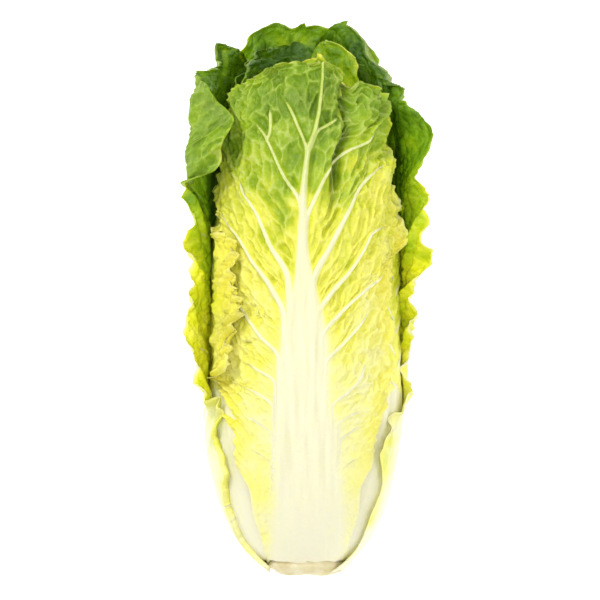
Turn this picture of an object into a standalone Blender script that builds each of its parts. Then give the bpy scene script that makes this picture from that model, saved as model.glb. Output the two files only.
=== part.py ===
"""A head of napa cabbage, picked and laid on its back leaf.

Metres, +Z up. +Y runs from the cut stem to the leaf tips, and the front leaf faces up.
The origin is the middle of the small flat spot on which the head rests.

Every leaf is wrapped on its own bullet-shaped shell round the axis of the head, and the
shells lie one inside the other. A leaf starts as a flat slab that is cut into rows and
columns. Its rows run outwards and upwards from the midrib, as the side veins do.
"""

import math

import bmesh
import bpy
import numpy as np

# The head as a whole
HEAD_LENGTH = 0.320
AXIS_HEIGHT = 0.0607
REST_FROM_CUT = 0.125
GAP = 0.00045
BLADE = 0.0012
SCALLOP = 0.035

# The stem, as (distance from the cut, radius). The cut face is a shallow dish.
CUT_FACE = ((0.0014, 0.0), (0.0012, 0.0060), (0.0004, 0.0130), (0.0000, 0.0172))
STEM_SIDE = (
    (0.0004, 0.0186),
    (0.0020, 0.0198),
    (0.0080, 0.0200),
    (0.0140, 0.0184),
    (0.0240, 0.0164),
    (0.0380, 0.0138),
    (0.0550, 0.0108),
    (0.0660, 0.0068),
)
STEM_END = 0.0700
STEM_SEGMENTS = 30

# The cut is uneven by this much, in lobes that fade out along the stub
STUB_END = 0.0080
CUT_LOBES = 5
CUT_UNEVEN = 0.0005

# The core of the heart: a barrel of tightly rolled leaves, whose edges show as low steps.
# It is a little fuller towards the front, and its ends close by a power of a sine.
CORE_FROM = 0.0715
CORE_TO = 0.262
CORE_RADIUS = 0.0330
CORE_FRONT = 0.0030
CORE_SHAPE = 0.42
CORE_ROLLS = 4
CORE_STEP = 0.06
CORE_TWIST = 0.9
CORE_SEGMENTS = 28
CORE_RINGS = 16
WELD = 0.00002

# Rows of a leaf follow its side veins, which rise more steeply towards the tip
VEIN_RISE = (0.05, 1.30)
VEIN_RISE_FROM = 0.055
VEIN_RISE_TO = 0.285
VEIN_BEND = 1.6
TIP_SHARE = 0.92
TIP_ROWS_FROM = 0.74

# Where along the head a leaf's parts begin and are whole, as distances from the cut
BASE_THICKNESS = 0.45
BASE_FULL_AT = 0.045
RIB_THINS_FROM = 0.050
VEINS_BEGIN = (0.040, 0.090)
RIDGE_BEGINS = (0.080, 0.180)
FRILL_GROWS_OVER = 0.040

# The rib's section is a low arch that ends a little outside its half width
RIB_SKIRT = 1.25
RIB_ARCH = 0.7

# The frill is kept to the margin by this power of the share across the leaf
FRILL_POWER = 2.5

# Steps of the numeric sums
WRAP_STEPS = 60
PROFILE_STEPS = 500
PROFILE_BEYOND_TIP = 0.010
MARGIN_STEPS = 200
NORMAL_STEP = 0.0002
BEND_EASE = 0.0020
SAME_POINT = 0.000001

# A bend with these last two places goes on to the tip
ONWARDS = (0.400, 0.500)

# Colours and roughness of the plain materials
CUT_TAN = (0.80, 0.72, 0.45)
HEART_YELLOW = (0.86, 0.84, 0.30)
YELLOW_GREEN = (0.70, 0.76, 0.20)
MID_GREEN = (0.34, 0.50, 0.09)
DARK_GREEN = (0.14, 0.30, 0.04)
ROUGHNESS = 0.45

# Columns of a leaf without bends, as shares of its half width
EVEN_COLUMNS = (0.12, 0.34, 0.66, 1.0)

# What the leaves share unless they say otherwise. Lengths along the head are measured from
# the cut face. A shell is (radius of its barrel, height of its elliptical bottom, where that
# bottom begins). An outline holds (distance from the cut, half width round the shell) up to
# the leaf's shoulder, from where an elliptical cap runs to the tip. "minus" is the side
# towards smaller angles round the head and "plus" the other. Angle 0 is the front, 90 is +X.
# A bend is (where it begins round the shell, its radius, its turn in degrees, and along the
# head: from, whole at, whole until, to). A negative radius bends away from the head. A pleat
# is (its place round the shell, its half width, its depth, from, whole at).
DEFAULTS = {
    "base": 0.0015,
    "hood": 0.24,
    "hood_from": 0.190,
    "rib_width": ((0.0, 0.021), (0.070, 0.020), (0.130, 0.012), (0.190, 0.005), (0.300, 0.002)),
    "rib_thickness": 0.0030,
    "rib_thin_at": 0.210,
    "ridge": 0.0012,
    "vein": 0.0008,
    "frill_minus": 0.0008,
    "frill_plus": 0.0008,
    "frill_lean": 0.0,
    "frill_from": 0.090,
    "waves": 6,
    "phase": 0.0,
    "bends_minus": (),
    "bends_plus": (),
    "pleat_plus": None,
    "columns_minus": EVEN_COLUMNS,
    "columns_plus": EVEN_COLUMNS,
    "rows": 21,
    "colour": YELLOW_GREEN,
}
LEAVES = {
    "leaf_front": {
        "angle": 0,
        "shell": (0.0540, 0.118, -0.004),
        "tip": 0.297,
        "outline_minus": ((0.0, 0.016), (0.020, 0.025), (0.044, 0.036), (0.064, 0.046),
                          (0.080, 0.054), (0.102, 0.062), (0.116, 0.066), (0.134, 0.077),
                          (0.160, 0.079), (0.184, 0.075), (0.204, 0.066), (0.236, 0.064)),
        "outline_plus": ((0.0, 0.016), (0.020, 0.025), (0.044, 0.036), (0.064, 0.045), (0.080, 0.053),
                         (0.102, 0.062), (0.160, 0.069), (0.210, 0.071), (0.256, 0.066)),
        "rib_width": ((0.0, 0.020), (0.045, 0.021), (0.100, 0.0175), (0.140, 0.013), (0.170, 0.008),
                      (0.200, 0.0045), (0.300, 0.0015)),
        "rib_thickness": 0.0054,
        "vein": 0.0022,
        "frill_minus": 0.0010,
        "frill_plus": 0.0018,
        "frill_lean": 0.6,
        "bends_minus": ((0.050, -0.0042, 162, 0.098, 0.130, 0.194, 0.216),),
        "bends_plus": ((0.060, -0.0045, 70, 0.174, 0.188, 0.202, 0.216),),
        "pleat_plus": (0.024, 0.008, 0.0045, 0.200, 0.240),
        "columns_minus": (0.07, 0.18, 0.32, 0.47, 0.62, 0.70, 0.76, 0.82, 0.88, 1.0),
        "columns_plus": (0.07, 0.19, 0.34, 0.50, 0.67, 0.84, 1.0),
        "rows": 40,
        "waves": 10,
    },
    "leaf_outer_left": {
        "angle": -118,
        "shell": (0.0575, 0.120, -0.0062),
        "tip": 0.306,
        "outline_minus": ((0.0, 0.012), (0.012, 0.019), (0.030, 0.030), (0.060, 0.042),
                          (0.100, 0.050), (0.160, 0.050), (0.240, 0.048)),
        "outline_plus": ((0.0, 0.020), (0.012, 0.029), (0.038, 0.044), (0.061, 0.053),
                         (0.090, 0.060), (0.112, 0.062), (0.160, 0.064), (0.200, 0.066),
                         (0.217, 0.073), (0.233, 0.080), (0.262, 0.081), (0.276, 0.076)),
        "rib_thickness": 0.0050,
        "hood": 0.16,
        "vein": 0.0016,
        "frill_plus": 0.0030,
        "bends_plus": ((0.028, -0.055, 60, 0.088, 0.125, *ONWARDS),
                       (0.057, 0.0050, 112, 0.186, 0.222, *ONWARDS)),
        "columns_minus": (0.15, 0.40, 0.70, 1.0),
        "columns_plus": (0.10, 0.24, 0.38, 0.52, 0.64, 0.71, 0.77, 0.83, 0.91, 1.0),
        "rows": 40,
        "waves": 10,
        "colour": MID_GREEN,
    },
    "leaf_outer_right": {
        "angle": 126,
        "shell": (0.0575, 0.120, -0.0062),
        "tip": 0.319,
        "outline_minus": ((0.0, 0.024), (0.012, 0.034), (0.038, 0.050), (0.061, 0.060),
                          (0.090, 0.068), (0.120, 0.059), (0.142, 0.051), (0.165, 0.054),
                          (0.202, 0.065), (0.220, 0.061), (0.250, 0.063), (0.275, 0.054),
                          (0.296, 0.036)),
        "outline_plus": ((0.0, 0.011), (0.012, 0.018), (0.030, 0.026), (0.060, 0.040),
                         (0.100, 0.046), (0.160, 0.048), (0.235, 0.046)),
        "rib_thickness": 0.0050,
        "hood": 0.16,
        "vein": 0.0016,
        "frill_minus": 0.0032,
        "bends_minus": ((0.030, -0.050, 60, 0.088, 0.122, *ONWARDS),
                        (0.018, 0.0055, 95, 0.284, 0.302, *ONWARDS)),
        "columns_minus": (0.10, 0.22, 0.35, 0.48, 0.60, 0.71, 0.81, 0.91, 1.0),
        "columns_plus": (0.15, 0.40, 0.70, 1.0),
        "rows": 42,
        "waves": 9,
        "colour": DARK_GREEN,
    },
    "leaf_back": {
        "angle": 180,
        "shell": (0.0625, 0.100, -0.0038),
        "tip": 0.318,
        "outline_minus": ((0.0, 0.006), (0.012, 0.010), (0.030, 0.028), (0.060, 0.046), (0.100, 0.056),
                          (0.150, 0.066), (0.200, 0.070), (0.245, 0.062)),
        "outline_plus": ((0.0, 0.006), (0.012, 0.010), (0.030, 0.028), (0.060, 0.046), (0.100, 0.054),
                         (0.150, 0.064), (0.200, 0.069), (0.250, 0.060)),
        "rib_thickness": 0.0036,
        "hood": 0.16,
        "vein": 0.0016,
        "frill_minus": 0.0026,
        "frill_plus": 0.0028,
        "frill_lean": 1.0,
        "columns_minus": (0.14, 0.32, 0.54, 0.78, 1.0),
        "columns_plus": (0.14, 0.32, 0.54, 0.78, 1.0),
        "rows": 36,
        "waves": 9,
        "colour": MID_GREEN,
    },
    "leaf_flank_left": {
        "angle": -70,
        "shell": (0.0502, 0.114, 0.003),
        "tip": 0.280,
        "outline_minus": ((0.0, 0.016), (0.030, 0.030), (0.060, 0.042), (0.110, 0.055), (0.180, 0.060),
                          (0.225, 0.058)),
        "outline_plus": ((0.0, 0.014), (0.030, 0.020), (0.060, 0.026), (0.110, 0.031), (0.220, 0.034)),
        "rib_width": ((0.0, 0.020), (0.060, 0.024), (0.120, 0.018), (0.190, 0.006), (0.300, 0.002)),
        "rib_thickness": 0.0036,
    },
    "leaf_flank_right": {
        "angle": 70,
        "shell": (0.0502, 0.114, 0.003),
        "tip": 0.282,
        "outline_minus": ((0.0, 0.014), (0.030, 0.020), (0.060, 0.026), (0.110, 0.031), (0.160, 0.030),
                          (0.220, 0.020)),
        "outline_plus": ((0.0, 0.016), (0.030, 0.030), (0.060, 0.042), (0.110, 0.055), (0.180, 0.060),
                         (0.225, 0.058)),
        "rib_width": ((0.0, 0.020), (0.060, 0.024), (0.120, 0.018), (0.190, 0.006), (0.300, 0.002)),
        "rib_thickness": 0.0036,
        "phase": 0.9,
    },
    "leaf_inner_front": {
        "angle": 10,
        "shell": (0.0462, 0.110, 0.009),
        "tip": 0.301,
        "outline_minus": ((0.0, 0.014), (0.050, 0.024), (0.110, 0.034), (0.180, 0.038), (0.250, 0.036)),
        "outline_plus": ((0.0, 0.014), (0.050, 0.024), (0.110, 0.034), (0.180, 0.038), (0.250, 0.036)),
    },
    "leaf_rear": {
        "angle": -168,
        "shell": (0.0462, 0.110, 0.009),
        "tip": 0.307,
        "outline_minus": ((0.0, 0.014), (0.050, 0.028), (0.110, 0.046), (0.180, 0.054), (0.250, 0.050)),
        "outline_plus": ((0.0, 0.014), (0.050, 0.028), (0.110, 0.046), (0.180, 0.054), (0.262, 0.052)),
        "rib_thickness": 0.0028,
        "hood": 0.18,
        "rows": 24,
        "waves": 7,
        "colour": DARK_GREEN,
    },
    "leaf_hollow_left": {
        "angle": -150,
        "shell": (0.0418, 0.106, 0.015),
        "tip": 0.298,
        "outline_minus": ((0.0, 0.012), (0.050, 0.022), (0.110, 0.034), (0.180, 0.042), (0.250, 0.040)),
        "outline_plus": ((0.0, 0.012), (0.050, 0.024), (0.110, 0.036), (0.180, 0.044), (0.258, 0.044)),
        "rib_thickness": 0.0026,
        "hood": 0.21,
        "phase": 2.0,
        "colour": DARK_GREEN,
    },
    "leaf_hollow_right": {
        "angle": 150,
        "shell": (0.0382, 0.102, 0.021),
        "tip": 0.306,
        "outline_minus": ((0.0, 0.010), (0.050, 0.018), (0.110, 0.024), (0.180, 0.027), (0.262, 0.026)),
        "outline_plus": ((0.0, 0.010), (0.050, 0.018), (0.110, 0.024), (0.180, 0.027), (0.268, 0.024)),
        "rib_thickness": 0.0022,
        "hood": 0.24,
        "columns_minus": (0.2, 0.6, 1.0),
        "columns_plus": (0.2, 0.6, 1.0),
        "rows": 20,
        "waves": 5,
        "phase": 0.7,
        "colour": MID_GREEN,
    },
}

# The blades that stand out of the heart's core
HEART_DEFAULTS = {
    **DEFAULTS,
    "base": 0.110,
    "hood_from": 0.215,
    "hood": 0.55,
    "rib_width": ((0.0, 0.008), (0.200, 0.005), (0.300, 0.002)),
    "rib_thickness": 0.0024,
    "rib_thin_at": 0.280,
    "frill_from": 0.180,
    "frill_minus": 0.0014,
    "frill_plus": 0.0014,
    "columns_minus": (0.3, 0.7, 1.0),
    "columns_plus": (0.3, 0.7, 1.0),
    "rows": 12,
    "waves": 3,
}
HEART_LEAVES = {
    "heart_front": {
        "angle": 18,
        "shell": (0.0400, 0.150, 0.090),
        "tip": 0.289,
        "outline_minus": ((0.110, 0.018), (0.180, 0.033), (0.250, 0.034)),
        "outline_plus": ((0.110, 0.018), (0.180, 0.033), (0.250, 0.034)),
    },
    "heart_left": {
        "angle": -62,
        "shell": (0.0365, 0.150, 0.090),
        "tip": 0.284,
        "outline_minus": ((0.110, 0.016), (0.180, 0.028), (0.245, 0.030)),
        "outline_plus": ((0.110, 0.016), (0.180, 0.028), (0.250, 0.030)),
        "phase": 1.5,
    },
    "heart_right": {
        "angle": 96,
        "shell": (0.0345, 0.150, 0.090),
        "tip": 0.281,
        "outline_minus": ((0.110, 0.016), (0.180, 0.026), (0.245, 0.026)),
        "outline_plus": ((0.110, 0.016), (0.180, 0.026), (0.245, 0.026)),
        "phase": 0.6,
    },
    "heart_rear": {
        "angle": -158,
        "shell": (0.0345, 0.150, 0.090),
        "tip": 0.287,
        "outline_minus": ((0.110, 0.016), (0.180, 0.026), (0.250, 0.028)),
        "outline_plus": ((0.110, 0.016), (0.180, 0.026), (0.245, 0.028)),
        "phase": 2.4,
    },
    "heart_inner": {
        "angle": -10,
        "shell": (0.0290, 0.150, 0.090),
        "tip": 0.285,
        "outline_minus": ((0.110, 0.016), (0.180, 0.022), (0.255, 0.024)),
        "outline_plus": ((0.110, 0.016), (0.180, 0.022), (0.250, 0.024)),
        "phase": 3.1,
    },
}


def clear_scene():
    """Removes every object of the startup scene."""
    for obj in list(bpy.data.objects):
        bpy.data.objects.remove(obj)


def plain_material(name, colour):
    """A plain material of one colour for a solid."""
    material = bpy.data.materials.new(name)
    material.use_nodes = True
    shader = material.node_tree.nodes["Principled BSDF"]
    shader.inputs["Base Color"].default_value = (*colour, 1.0)
    shader.inputs["Roughness"].default_value = ROUGHNESS
    shader.inputs["Metallic"].default_value = 0.0
    material.diffuse_color = (*colour, 1.0)
    return material


def solid(name, mesh):
    """The object that holds a finished mesh, with its faces pointing out."""
    bmesh.ops.recalc_face_normals(mesh, faces=mesh.faces)
    if mesh.calc_volume(signed=True) < 0:
        bmesh.ops.reverse_faces(mesh, faces=mesh.faces)
    data = bpy.data.meshes.new(name)
    mesh.to_mesh(data)
    mesh.free()
    data.shade_smooth()
    return bpy.data.objects.new(name, data)


def smoothstep(x, low, high):
    """0 below low, 1 above high, and smooth in between."""
    t = np.clip((x - low) / (high - low), 0.0, 1.0)
    return t * t * (3.0 - 2.0 * t)


def curve_through(points, x):
    """A smooth curve through points, read at x. It doesn't overshoot them."""
    px, py = np.array(points, float).T
    slope = np.diff(py) / np.diff(px)
    tangent = np.concatenate([[slope[0]], np.zeros(len(px) - 2), [slope[-1]]])
    same_way = slope[:-1] * slope[1:] > 0
    middle = np.zeros(len(slope) - 1)
    middle[same_way] = 2.0 / (1.0 / slope[:-1][same_way] + 1.0 / slope[1:][same_way])
    tangent[1:-1] = middle
    x = np.clip(x, px[0], px[-1])
    i = np.clip(np.searchsorted(px, x, side="right") - 1, 0, len(px) - 2)
    width = px[i + 1] - px[i]
    t = (x - px[i]) / width
    return (
        py[i] * (1 + 2 * t) * (1 - t) ** 2
        + tangent[i] * width * t * (1 - t) ** 2
        + py[i + 1] * t * t * (3 - 2 * t)
        + tangent[i + 1] * width * t * t * (t - 1)
    )


def stem_radius(y):
    """Radius of the stem at a distance from the cut, and 0 beyond its end."""
    y_of, radius_of = np.array(STEM_SIDE + ((STEM_END, 0.0),)).T
    return np.interp(y, y_of, radius_of)


def shell_radius(leaf, y):
    """Radius of a leaf's shell: an elliptical bottom, a straight barrel and a hooded top."""
    radius, bottom, offset = leaf["shell"]
    rise = np.clip((y - offset) / bottom, 0.0, 1.0)
    barrel = radius * np.sqrt(1.0 - (1.0 - rise) ** 2)
    hood = np.clip((y - leaf["hood_from"]) / (HEAD_LENGTH - leaf["hood_from"]), 0.0, 1.0)
    return barrel * (1.0 - leaf["hood"] * hood**2)


def profile(leaf):
    """Distance from the cut, shell radius and length along the leaf, from its base upwards."""
    y = np.linspace(leaf["base"], HEAD_LENGTH + PROFILE_BEYOND_TIP, PROFILE_STEPS)
    r = shell_radius(leaf, y)
    first = np.argmax(r > stem_radius(y) + GAP)
    y, r = y[first:], r[first:]
    step = np.hypot(np.diff(y), np.diff(r))
    return y, r, np.concatenate([[0.0], np.cumsum(step)])


def margin(leaf, side, along):
    """Where the margin is: (half width, length along the leaf) at each share of its run."""
    y_of, _, length_of = profile(leaf)
    outline = leaf["outline_" + side]
    shoulder, width = outline[-1]
    low = np.linspace(y_of[0], shoulder, MARGIN_STEPS)
    turn = np.linspace(0.0, math.pi / 2, MARGIN_STEPS)[1:]
    y = np.concatenate([low, shoulder + (leaf["tip"] - shoulder) * np.sin(turn)])
    half = np.concatenate([curve_through(outline, low), width * np.cos(turn)])
    length = np.interp(y, y_of, length_of)
    run = np.concatenate([[0.0], np.cumsum(np.hypot(np.diff(length), np.diff(half)))])
    share = along * TIP_SHARE * run[-1]
    tooth = 1 + SCALLOP * np.cos(2 * math.pi * leaf["waves"] * along + leaf["phase"])
    return np.interp(share, run, half) * tooth, np.interp(share, run, length), length[-1]


def row_rise(along, half, length, tip_length):
    """How far a row rises from the midrib to the margin. The last rows arch over the tip."""
    steep = np.clip((length - VEIN_RISE_FROM) / (VEIN_RISE_TO - VEIN_RISE_FROM), 0.0, 1.0)
    rise = half * (VEIN_RISE[0] + (VEIN_RISE[1] - VEIN_RISE[0]) * steep)
    return rise + (length - tip_length - rise) * smoothstep(along, TIP_ROWS_FROM, 1.0)


def spread(leaf, across, along):
    """Flat leaf: distance from the midrib and length along it, for shares across and along."""
    half_minus, length_minus, tip_length = margin(leaf, "minus", along)
    half_plus, length_plus, _ = margin(leaf, "plus", along)
    start_minus = length_minus - row_rise(along, half_minus, length_minus, tip_length)
    start_plus = length_plus - row_rise(along, half_plus, length_plus, tip_length)
    middle = np.maximum((start_minus + start_plus) / 2, 0.0)
    plus = across > 0
    half = np.where(plus, half_plus, half_minus)
    length = np.where(plus, length_plus, length_minus)
    share = np.abs(across)
    round_tip = smoothstep(along, TIP_ROWS_FROM, 1.0)
    drop = (1 - (1 - share) ** VEIN_BEND) * (1 - round_tip) + share**2 * round_tip
    return across * half, middle + (length - middle) * drop


def curvature(leaf, a, y, r):
    """How fast the section turns at distance a from the midrib: round the shell, and in its bends."""
    bend = np.ones_like(a) / r
    for side, sign in (("minus", -1), ("plus", 1)):
        for begin, radius, turn, low, whole, until, high in leaf["bends_" + side]:
            end = begin + abs(radius) * math.radians(turn)
            there = smoothstep(y, low, whole) * (1 - smoothstep(y, until, high))
            share = there * smoothstep(a * sign, begin - BEND_EASE, begin + BEND_EASE)
            inside = 1 - smoothstep(a * sign, end - BEND_EASE, end + BEND_EASE)
            bend = bend * (1 - share) + share * inside / radius
    return bend


def wrap(leaf, a, length):
    """Points of the leaf's shell for distances across and along the flat leaf."""
    y_of, r_of, length_of = profile(leaf)
    y = np.interp(length, length_of, y_of)
    r = np.interp(length, length_of, r_of)
    step = a[:, None] / WRAP_STEPS
    places = step * (np.arange(WRAP_STEPS) + 0.5)
    bend = curvature(leaf, places, y[:, None], r[:, None])
    start = math.radians(leaf["angle"])
    heading = start + np.cumsum(bend * step, axis=1) - 0.5 * bend * step
    x = r * math.sin(start) + (np.cos(heading) * step).sum(axis=1)
    z = r * math.cos(start) - (np.sin(heading) * step).sum(axis=1)
    return np.stack([x, y, z], axis=1)


def outward(leaf, a, length):
    """Unit normals of the shell, away from the axis of the head."""
    across = wrap(leaf, a + NORMAL_STEP, length) - wrap(leaf, a - NORMAL_STEP, length)
    up = wrap(leaf, a, length + NORMAL_STEP) - wrap(leaf, a, np.maximum(length - NORMAL_STEP, 0.0))
    normal = np.cross(across, up)
    return normal / np.linalg.norm(normal, axis=1)[:, None]


def rib_share(leaf, a, length):
    """1 on the midrib, falling to 0 at its edge."""
    half = RIB_SKIRT * curve_through(leaf["rib_width"], length)
    return np.clip(1.0 - (a / half) ** 2, 0.0, 1.0) ** RIB_ARCH


def pleat_depth(leaf, a, y):
    """How deep the pleat of a leaf lies at each point."""
    if not leaf["pleat_plus"]:
        return np.zeros_like(a)
    place, half, depth, low, high = leaf["pleat_plus"]
    return depth * np.clip(1 - np.abs(a - place) / half, 0.0, 1.0) * smoothstep(y, low, high)


def blade_thickness(leaf, rib, y):
    """Thickness of a leaf: its rib is thick, but thin where it grows from the stem and at the tip."""
    full = BASE_THICKNESS + (1 - BASE_THICKNESS) * smoothstep(y, 0.0, BASE_FULL_AT)
    full *= 1 - smoothstep(y, RIB_THINS_FROM, leaf["rib_thin_at"])
    return BLADE + (leaf["rib_thickness"] - BLADE) * rib * full


def leaf_surface(leaf, across, along):
    """Outer and inner points of a leaf for shares across (-1 to 1) and along (0 to 1)."""
    a, length = spread(leaf, across, along)
    base = wrap(leaf, a, length)
    normal = outward(leaf, a, length)
    y = base[:, 1]
    rib = rib_share(leaf, a, length)
    side = np.where(across > 0, math.pi, 0.0)
    wave = np.cos(2 * math.pi * leaf["waves"] * along + leaf["phase"] + side)
    height = np.where(across > 0, leaf["frill_plus"], leaf["frill_minus"])
    height *= smoothstep(y, leaf["frill_from"], leaf["frill_from"] + FRILL_GROWS_OVER)
    frill = height * np.abs(across) ** FRILL_POWER * (wave + leaf["frill_lean"])
    frill -= pleat_depth(leaf, a, y)
    vein = leaf["vein"] * smoothstep(y, *VEINS_BEGIN) * np.maximum(wave, 0.0) ** 2
    vein *= (1 - rib) * np.sqrt(1 - np.abs(across))
    ridge = leaf["ridge"] * smoothstep(y, *RIDGE_BEGINS) * rib
    outer = base + normal * (frill + vein + ridge)[:, None]
    inner = base + normal * (frill - blade_thickness(leaf, rib, y))[:, None]
    return outer, inner


def clear_of_stem(points):
    """Points nearer the axis than the stem's surface, moved out to just clear it."""
    far = np.hypot(points[:, 0], points[:, 2])
    least = stem_radius(points[:, 1]) + GAP
    grow = np.where(far < least, least / np.maximum(far, SAME_POINT), 1.0)
    return points * np.stack([grow, np.ones_like(grow), grow], axis=1)


def placed(points, lowest):
    """Points round the head's own axis, moved to where the head lies, and none below lowest."""
    moved = points + np.array([0.0, -REST_FROM_CUT, AXIS_HEIGHT])
    moved[:, 2] = np.maximum(moved[:, 2], lowest)
    return moved


def slab(columns, rows):
    """A flat triangulated grid from -1 to 1, with a copy of it below that closes the slab."""
    mesh = bmesh.new()
    bmesh.ops.create_grid(mesh, x_segments=columns, y_segments=rows, size=1.0)
    bmesh.ops.triangulate(mesh, faces=mesh.faces, quad_method="ALTERNATE")
    made = bmesh.ops.extrude_face_region(mesh, geom=mesh.faces[:], use_keep_orig=True)
    lowered = [part for part in made["geom"] if isinstance(part, bmesh.types.BMVert)]
    bmesh.ops.translate(mesh, verts=lowered, vec=(0.0, 0.0, -1.0))
    return mesh


def make_leaf(name, leaf):
    """Builds one leaf by wrapping a slab round its shell."""
    shares = np.array([-share for share in leaf["columns_minus"][::-1]] + [0.0, *leaf["columns_plus"]])
    mesh = slab(len(shares) - 1, leaf["rows"])
    flat = np.array([vertex.co for vertex in mesh.verts])
    column = np.rint((flat[:, 0] + 1) / 2 * (len(shares) - 1)).astype(int)
    outer, inner = leaf_surface(leaf, shares[column], (flat[:, 1] + 1) / 2)
    is_inner = flat[:, 2] < -0.5
    points = clear_of_stem(np.where(is_inner[:, None], inner, outer))
    points = placed(points, np.where(is_inner, BLADE, 0.0))
    for vertex, point in zip(mesh.verts, points):
        vertex.co = point
    return solid(name, mesh)


def make_stem():
    """Builds the stem by spinning its profile round the axis of the head."""
    mesh = bmesh.new()
    line = [mesh.verts.new((r, y, 0.0)) for y, r in CUT_FACE + STEM_SIDE + ((STEM_END, 0.0),)]
    edges = [mesh.edges.new(pair) for pair in zip(line, line[1:])]
    bmesh.ops.spin(mesh, geom=line + edges, cent=(0, 0, 0), axis=(0, 1, 0), angle=2 * math.pi,
                   steps=STEM_SEGMENTS, use_merge=True)
    bmesh.ops.remove_doubles(mesh, verts=mesh.verts, dist=SAME_POINT)
    for vertex in mesh.verts:
        x, y, z = vertex.co
        near_cut = 1 - smoothstep(y, 0.0, STUB_END)
        y += CUT_UNEVEN * near_cut * (1 + math.sin(CUT_LOBES * math.atan2(x, z)))
        vertex.co = (x, y - REST_FROM_CUT, z + AXIS_HEIGHT)
    return solid("stem", mesh)


def make_core():
    """Builds the heart's core from a ball that is drawn out to a barrel of rolled leaves."""
    mesh = bmesh.new()
    bmesh.ops.create_uvsphere(mesh, u_segments=CORE_SEGMENTS, v_segments=CORE_RINGS, radius=1.0)
    for vertex in mesh.verts:
        turn = math.atan2(vertex.co.x, vertex.co.y)
        along = 1 - math.acos(max(-1.0, min(1.0, vertex.co.z))) / math.pi
        rolled = (CORE_ROLLS * turn / (2 * math.pi) + CORE_TWIST * along) % 1.0
        radius = (CORE_RADIUS + CORE_FRONT * math.cos(turn)) * math.sin(math.pi * along) ** CORE_SHAPE
        radius *= 1 - CORE_STEP * rolled
        y = CORE_FROM + (CORE_TO - CORE_FROM) * along
        x, z = radius * math.sin(turn), radius * math.cos(turn)
        vertex.co = (x, y - REST_FROM_CUT, z + AXIS_HEIGHT)
    return solid("heart_core", mesh)


def make_heart():
    """Builds the heart: the core, and the blades that stand out of it, as one body."""
    core = make_core()
    blades = [make_leaf(name, {**HEART_DEFAULTS, **leaf}) for name, leaf in HEART_LEAVES.items()]
    for obj in [core, *blades]:
        bpy.context.scene.collection.objects.link(obj)
    for blade in blades:
        union = core.modifiers.new(blade.name, "BOOLEAN")
        union.operation = "UNION"
        union.solver = "EXACT"
        union.object = blade
    mesh = bmesh.new()
    mesh.from_object(core, bpy.context.evaluated_depsgraph_get())
    for used in [obj.data for obj in [core, *blades]]:
        bpy.data.meshes.remove(used)
    bmesh.ops.remove_doubles(mesh, verts=mesh.verts, dist=WELD)
    bmesh.ops.triangulate(mesh, faces=mesh.faces)
    return solid("heart", mesh)


def add_piece(head, piece, colour):
    """Puts a finished piece in the head's collection, with its own material."""
    piece.data.materials.append(plain_material(piece.name, colour))
    head.objects.link(piece)


def main():
    """Builds the whole head."""
    clear_scene()
    head = bpy.data.collections.new("napa_cabbage")
    bpy.context.scene.collection.children.link(head)
    add_piece(head, make_stem(), CUT_TAN)
    add_piece(head, make_heart(), HEART_YELLOW)
    for name, own in LEAVES.items():
        leaf = {**DEFAULTS, **own}
        add_piece(head, make_leaf(name, leaf), leaf["colour"])


main()
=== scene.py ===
"""The finished look of a head of napa cabbage that lies on its back leaf.

Every leaf is wrapped on the same shell as its solid, with the same outline and waves, and
then gets its veins, puckers, ruffles and ragged margin as fine relief. Distances along the
head are measured from the cut stem, and angle 0 round it is the front, 90 is +X.
"""

import math
from types import SimpleNamespace

import bmesh
import bpy
import numpy as np
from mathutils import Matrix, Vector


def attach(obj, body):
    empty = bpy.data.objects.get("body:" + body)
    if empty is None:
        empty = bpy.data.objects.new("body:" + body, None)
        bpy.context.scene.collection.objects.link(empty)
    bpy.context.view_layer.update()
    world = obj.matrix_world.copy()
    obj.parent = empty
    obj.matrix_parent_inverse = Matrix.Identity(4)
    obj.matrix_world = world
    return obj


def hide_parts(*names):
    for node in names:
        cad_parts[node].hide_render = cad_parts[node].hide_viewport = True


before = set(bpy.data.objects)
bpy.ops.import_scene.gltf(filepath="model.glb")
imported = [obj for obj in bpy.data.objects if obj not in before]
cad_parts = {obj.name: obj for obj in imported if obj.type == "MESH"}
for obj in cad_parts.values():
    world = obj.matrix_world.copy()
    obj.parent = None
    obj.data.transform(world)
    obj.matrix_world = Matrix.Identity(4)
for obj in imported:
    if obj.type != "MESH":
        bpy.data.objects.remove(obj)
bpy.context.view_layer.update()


def mm(*sizes):
    """Sizes given in millimetres, in metres."""
    metres = (mm(*size) if isinstance(size, tuple) else round(size / 1000, 7) for size in sizes)
    return tuple(metres)


def tones(*pairs):
    """Tones along the head, each with its distance from the cut in millimetres."""
    return tuple((round(at / 1000, 7), tone) for at, tone in pairs)


# The head as a whole. Sizes are in metres, apart from those in mm() and tones().
HEAD_LENGTH = 0.320
AXIS_HEIGHT = 0.0607
REST_FROM_CUT = 0.125
GAP = 0.0003
BLADE = 0.0009
MARGIN_BLADE = 0.0005
SCALLOP = 0.030

# The stem, as (distance from the cut, radius), and its cut face the same way
STEM_SIDE = mm(
    (0.4, 16.5), (2, 19.2), (4.5, 21.4), (7, 22.2), (12, 19.8), (24, 16.4), (38, 13.8),
    (55, 10.8), (66, 6.8), (70, 0))
CUT_DISH = mm((1.4, 0), (1.3, 3.5), (1.1, 7), (0.7, 10.5), (0.3, 13), (0, 15))
STEM_STEPS = 60
STEM_SEGMENTS = 120
STUB_END = 0.0080
STUB_DENTS = 0.0009
STUB_LUMPS = 0.0013
CUT_RING = 0.00022
CUT_RING_SPACING = 0.0013

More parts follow.
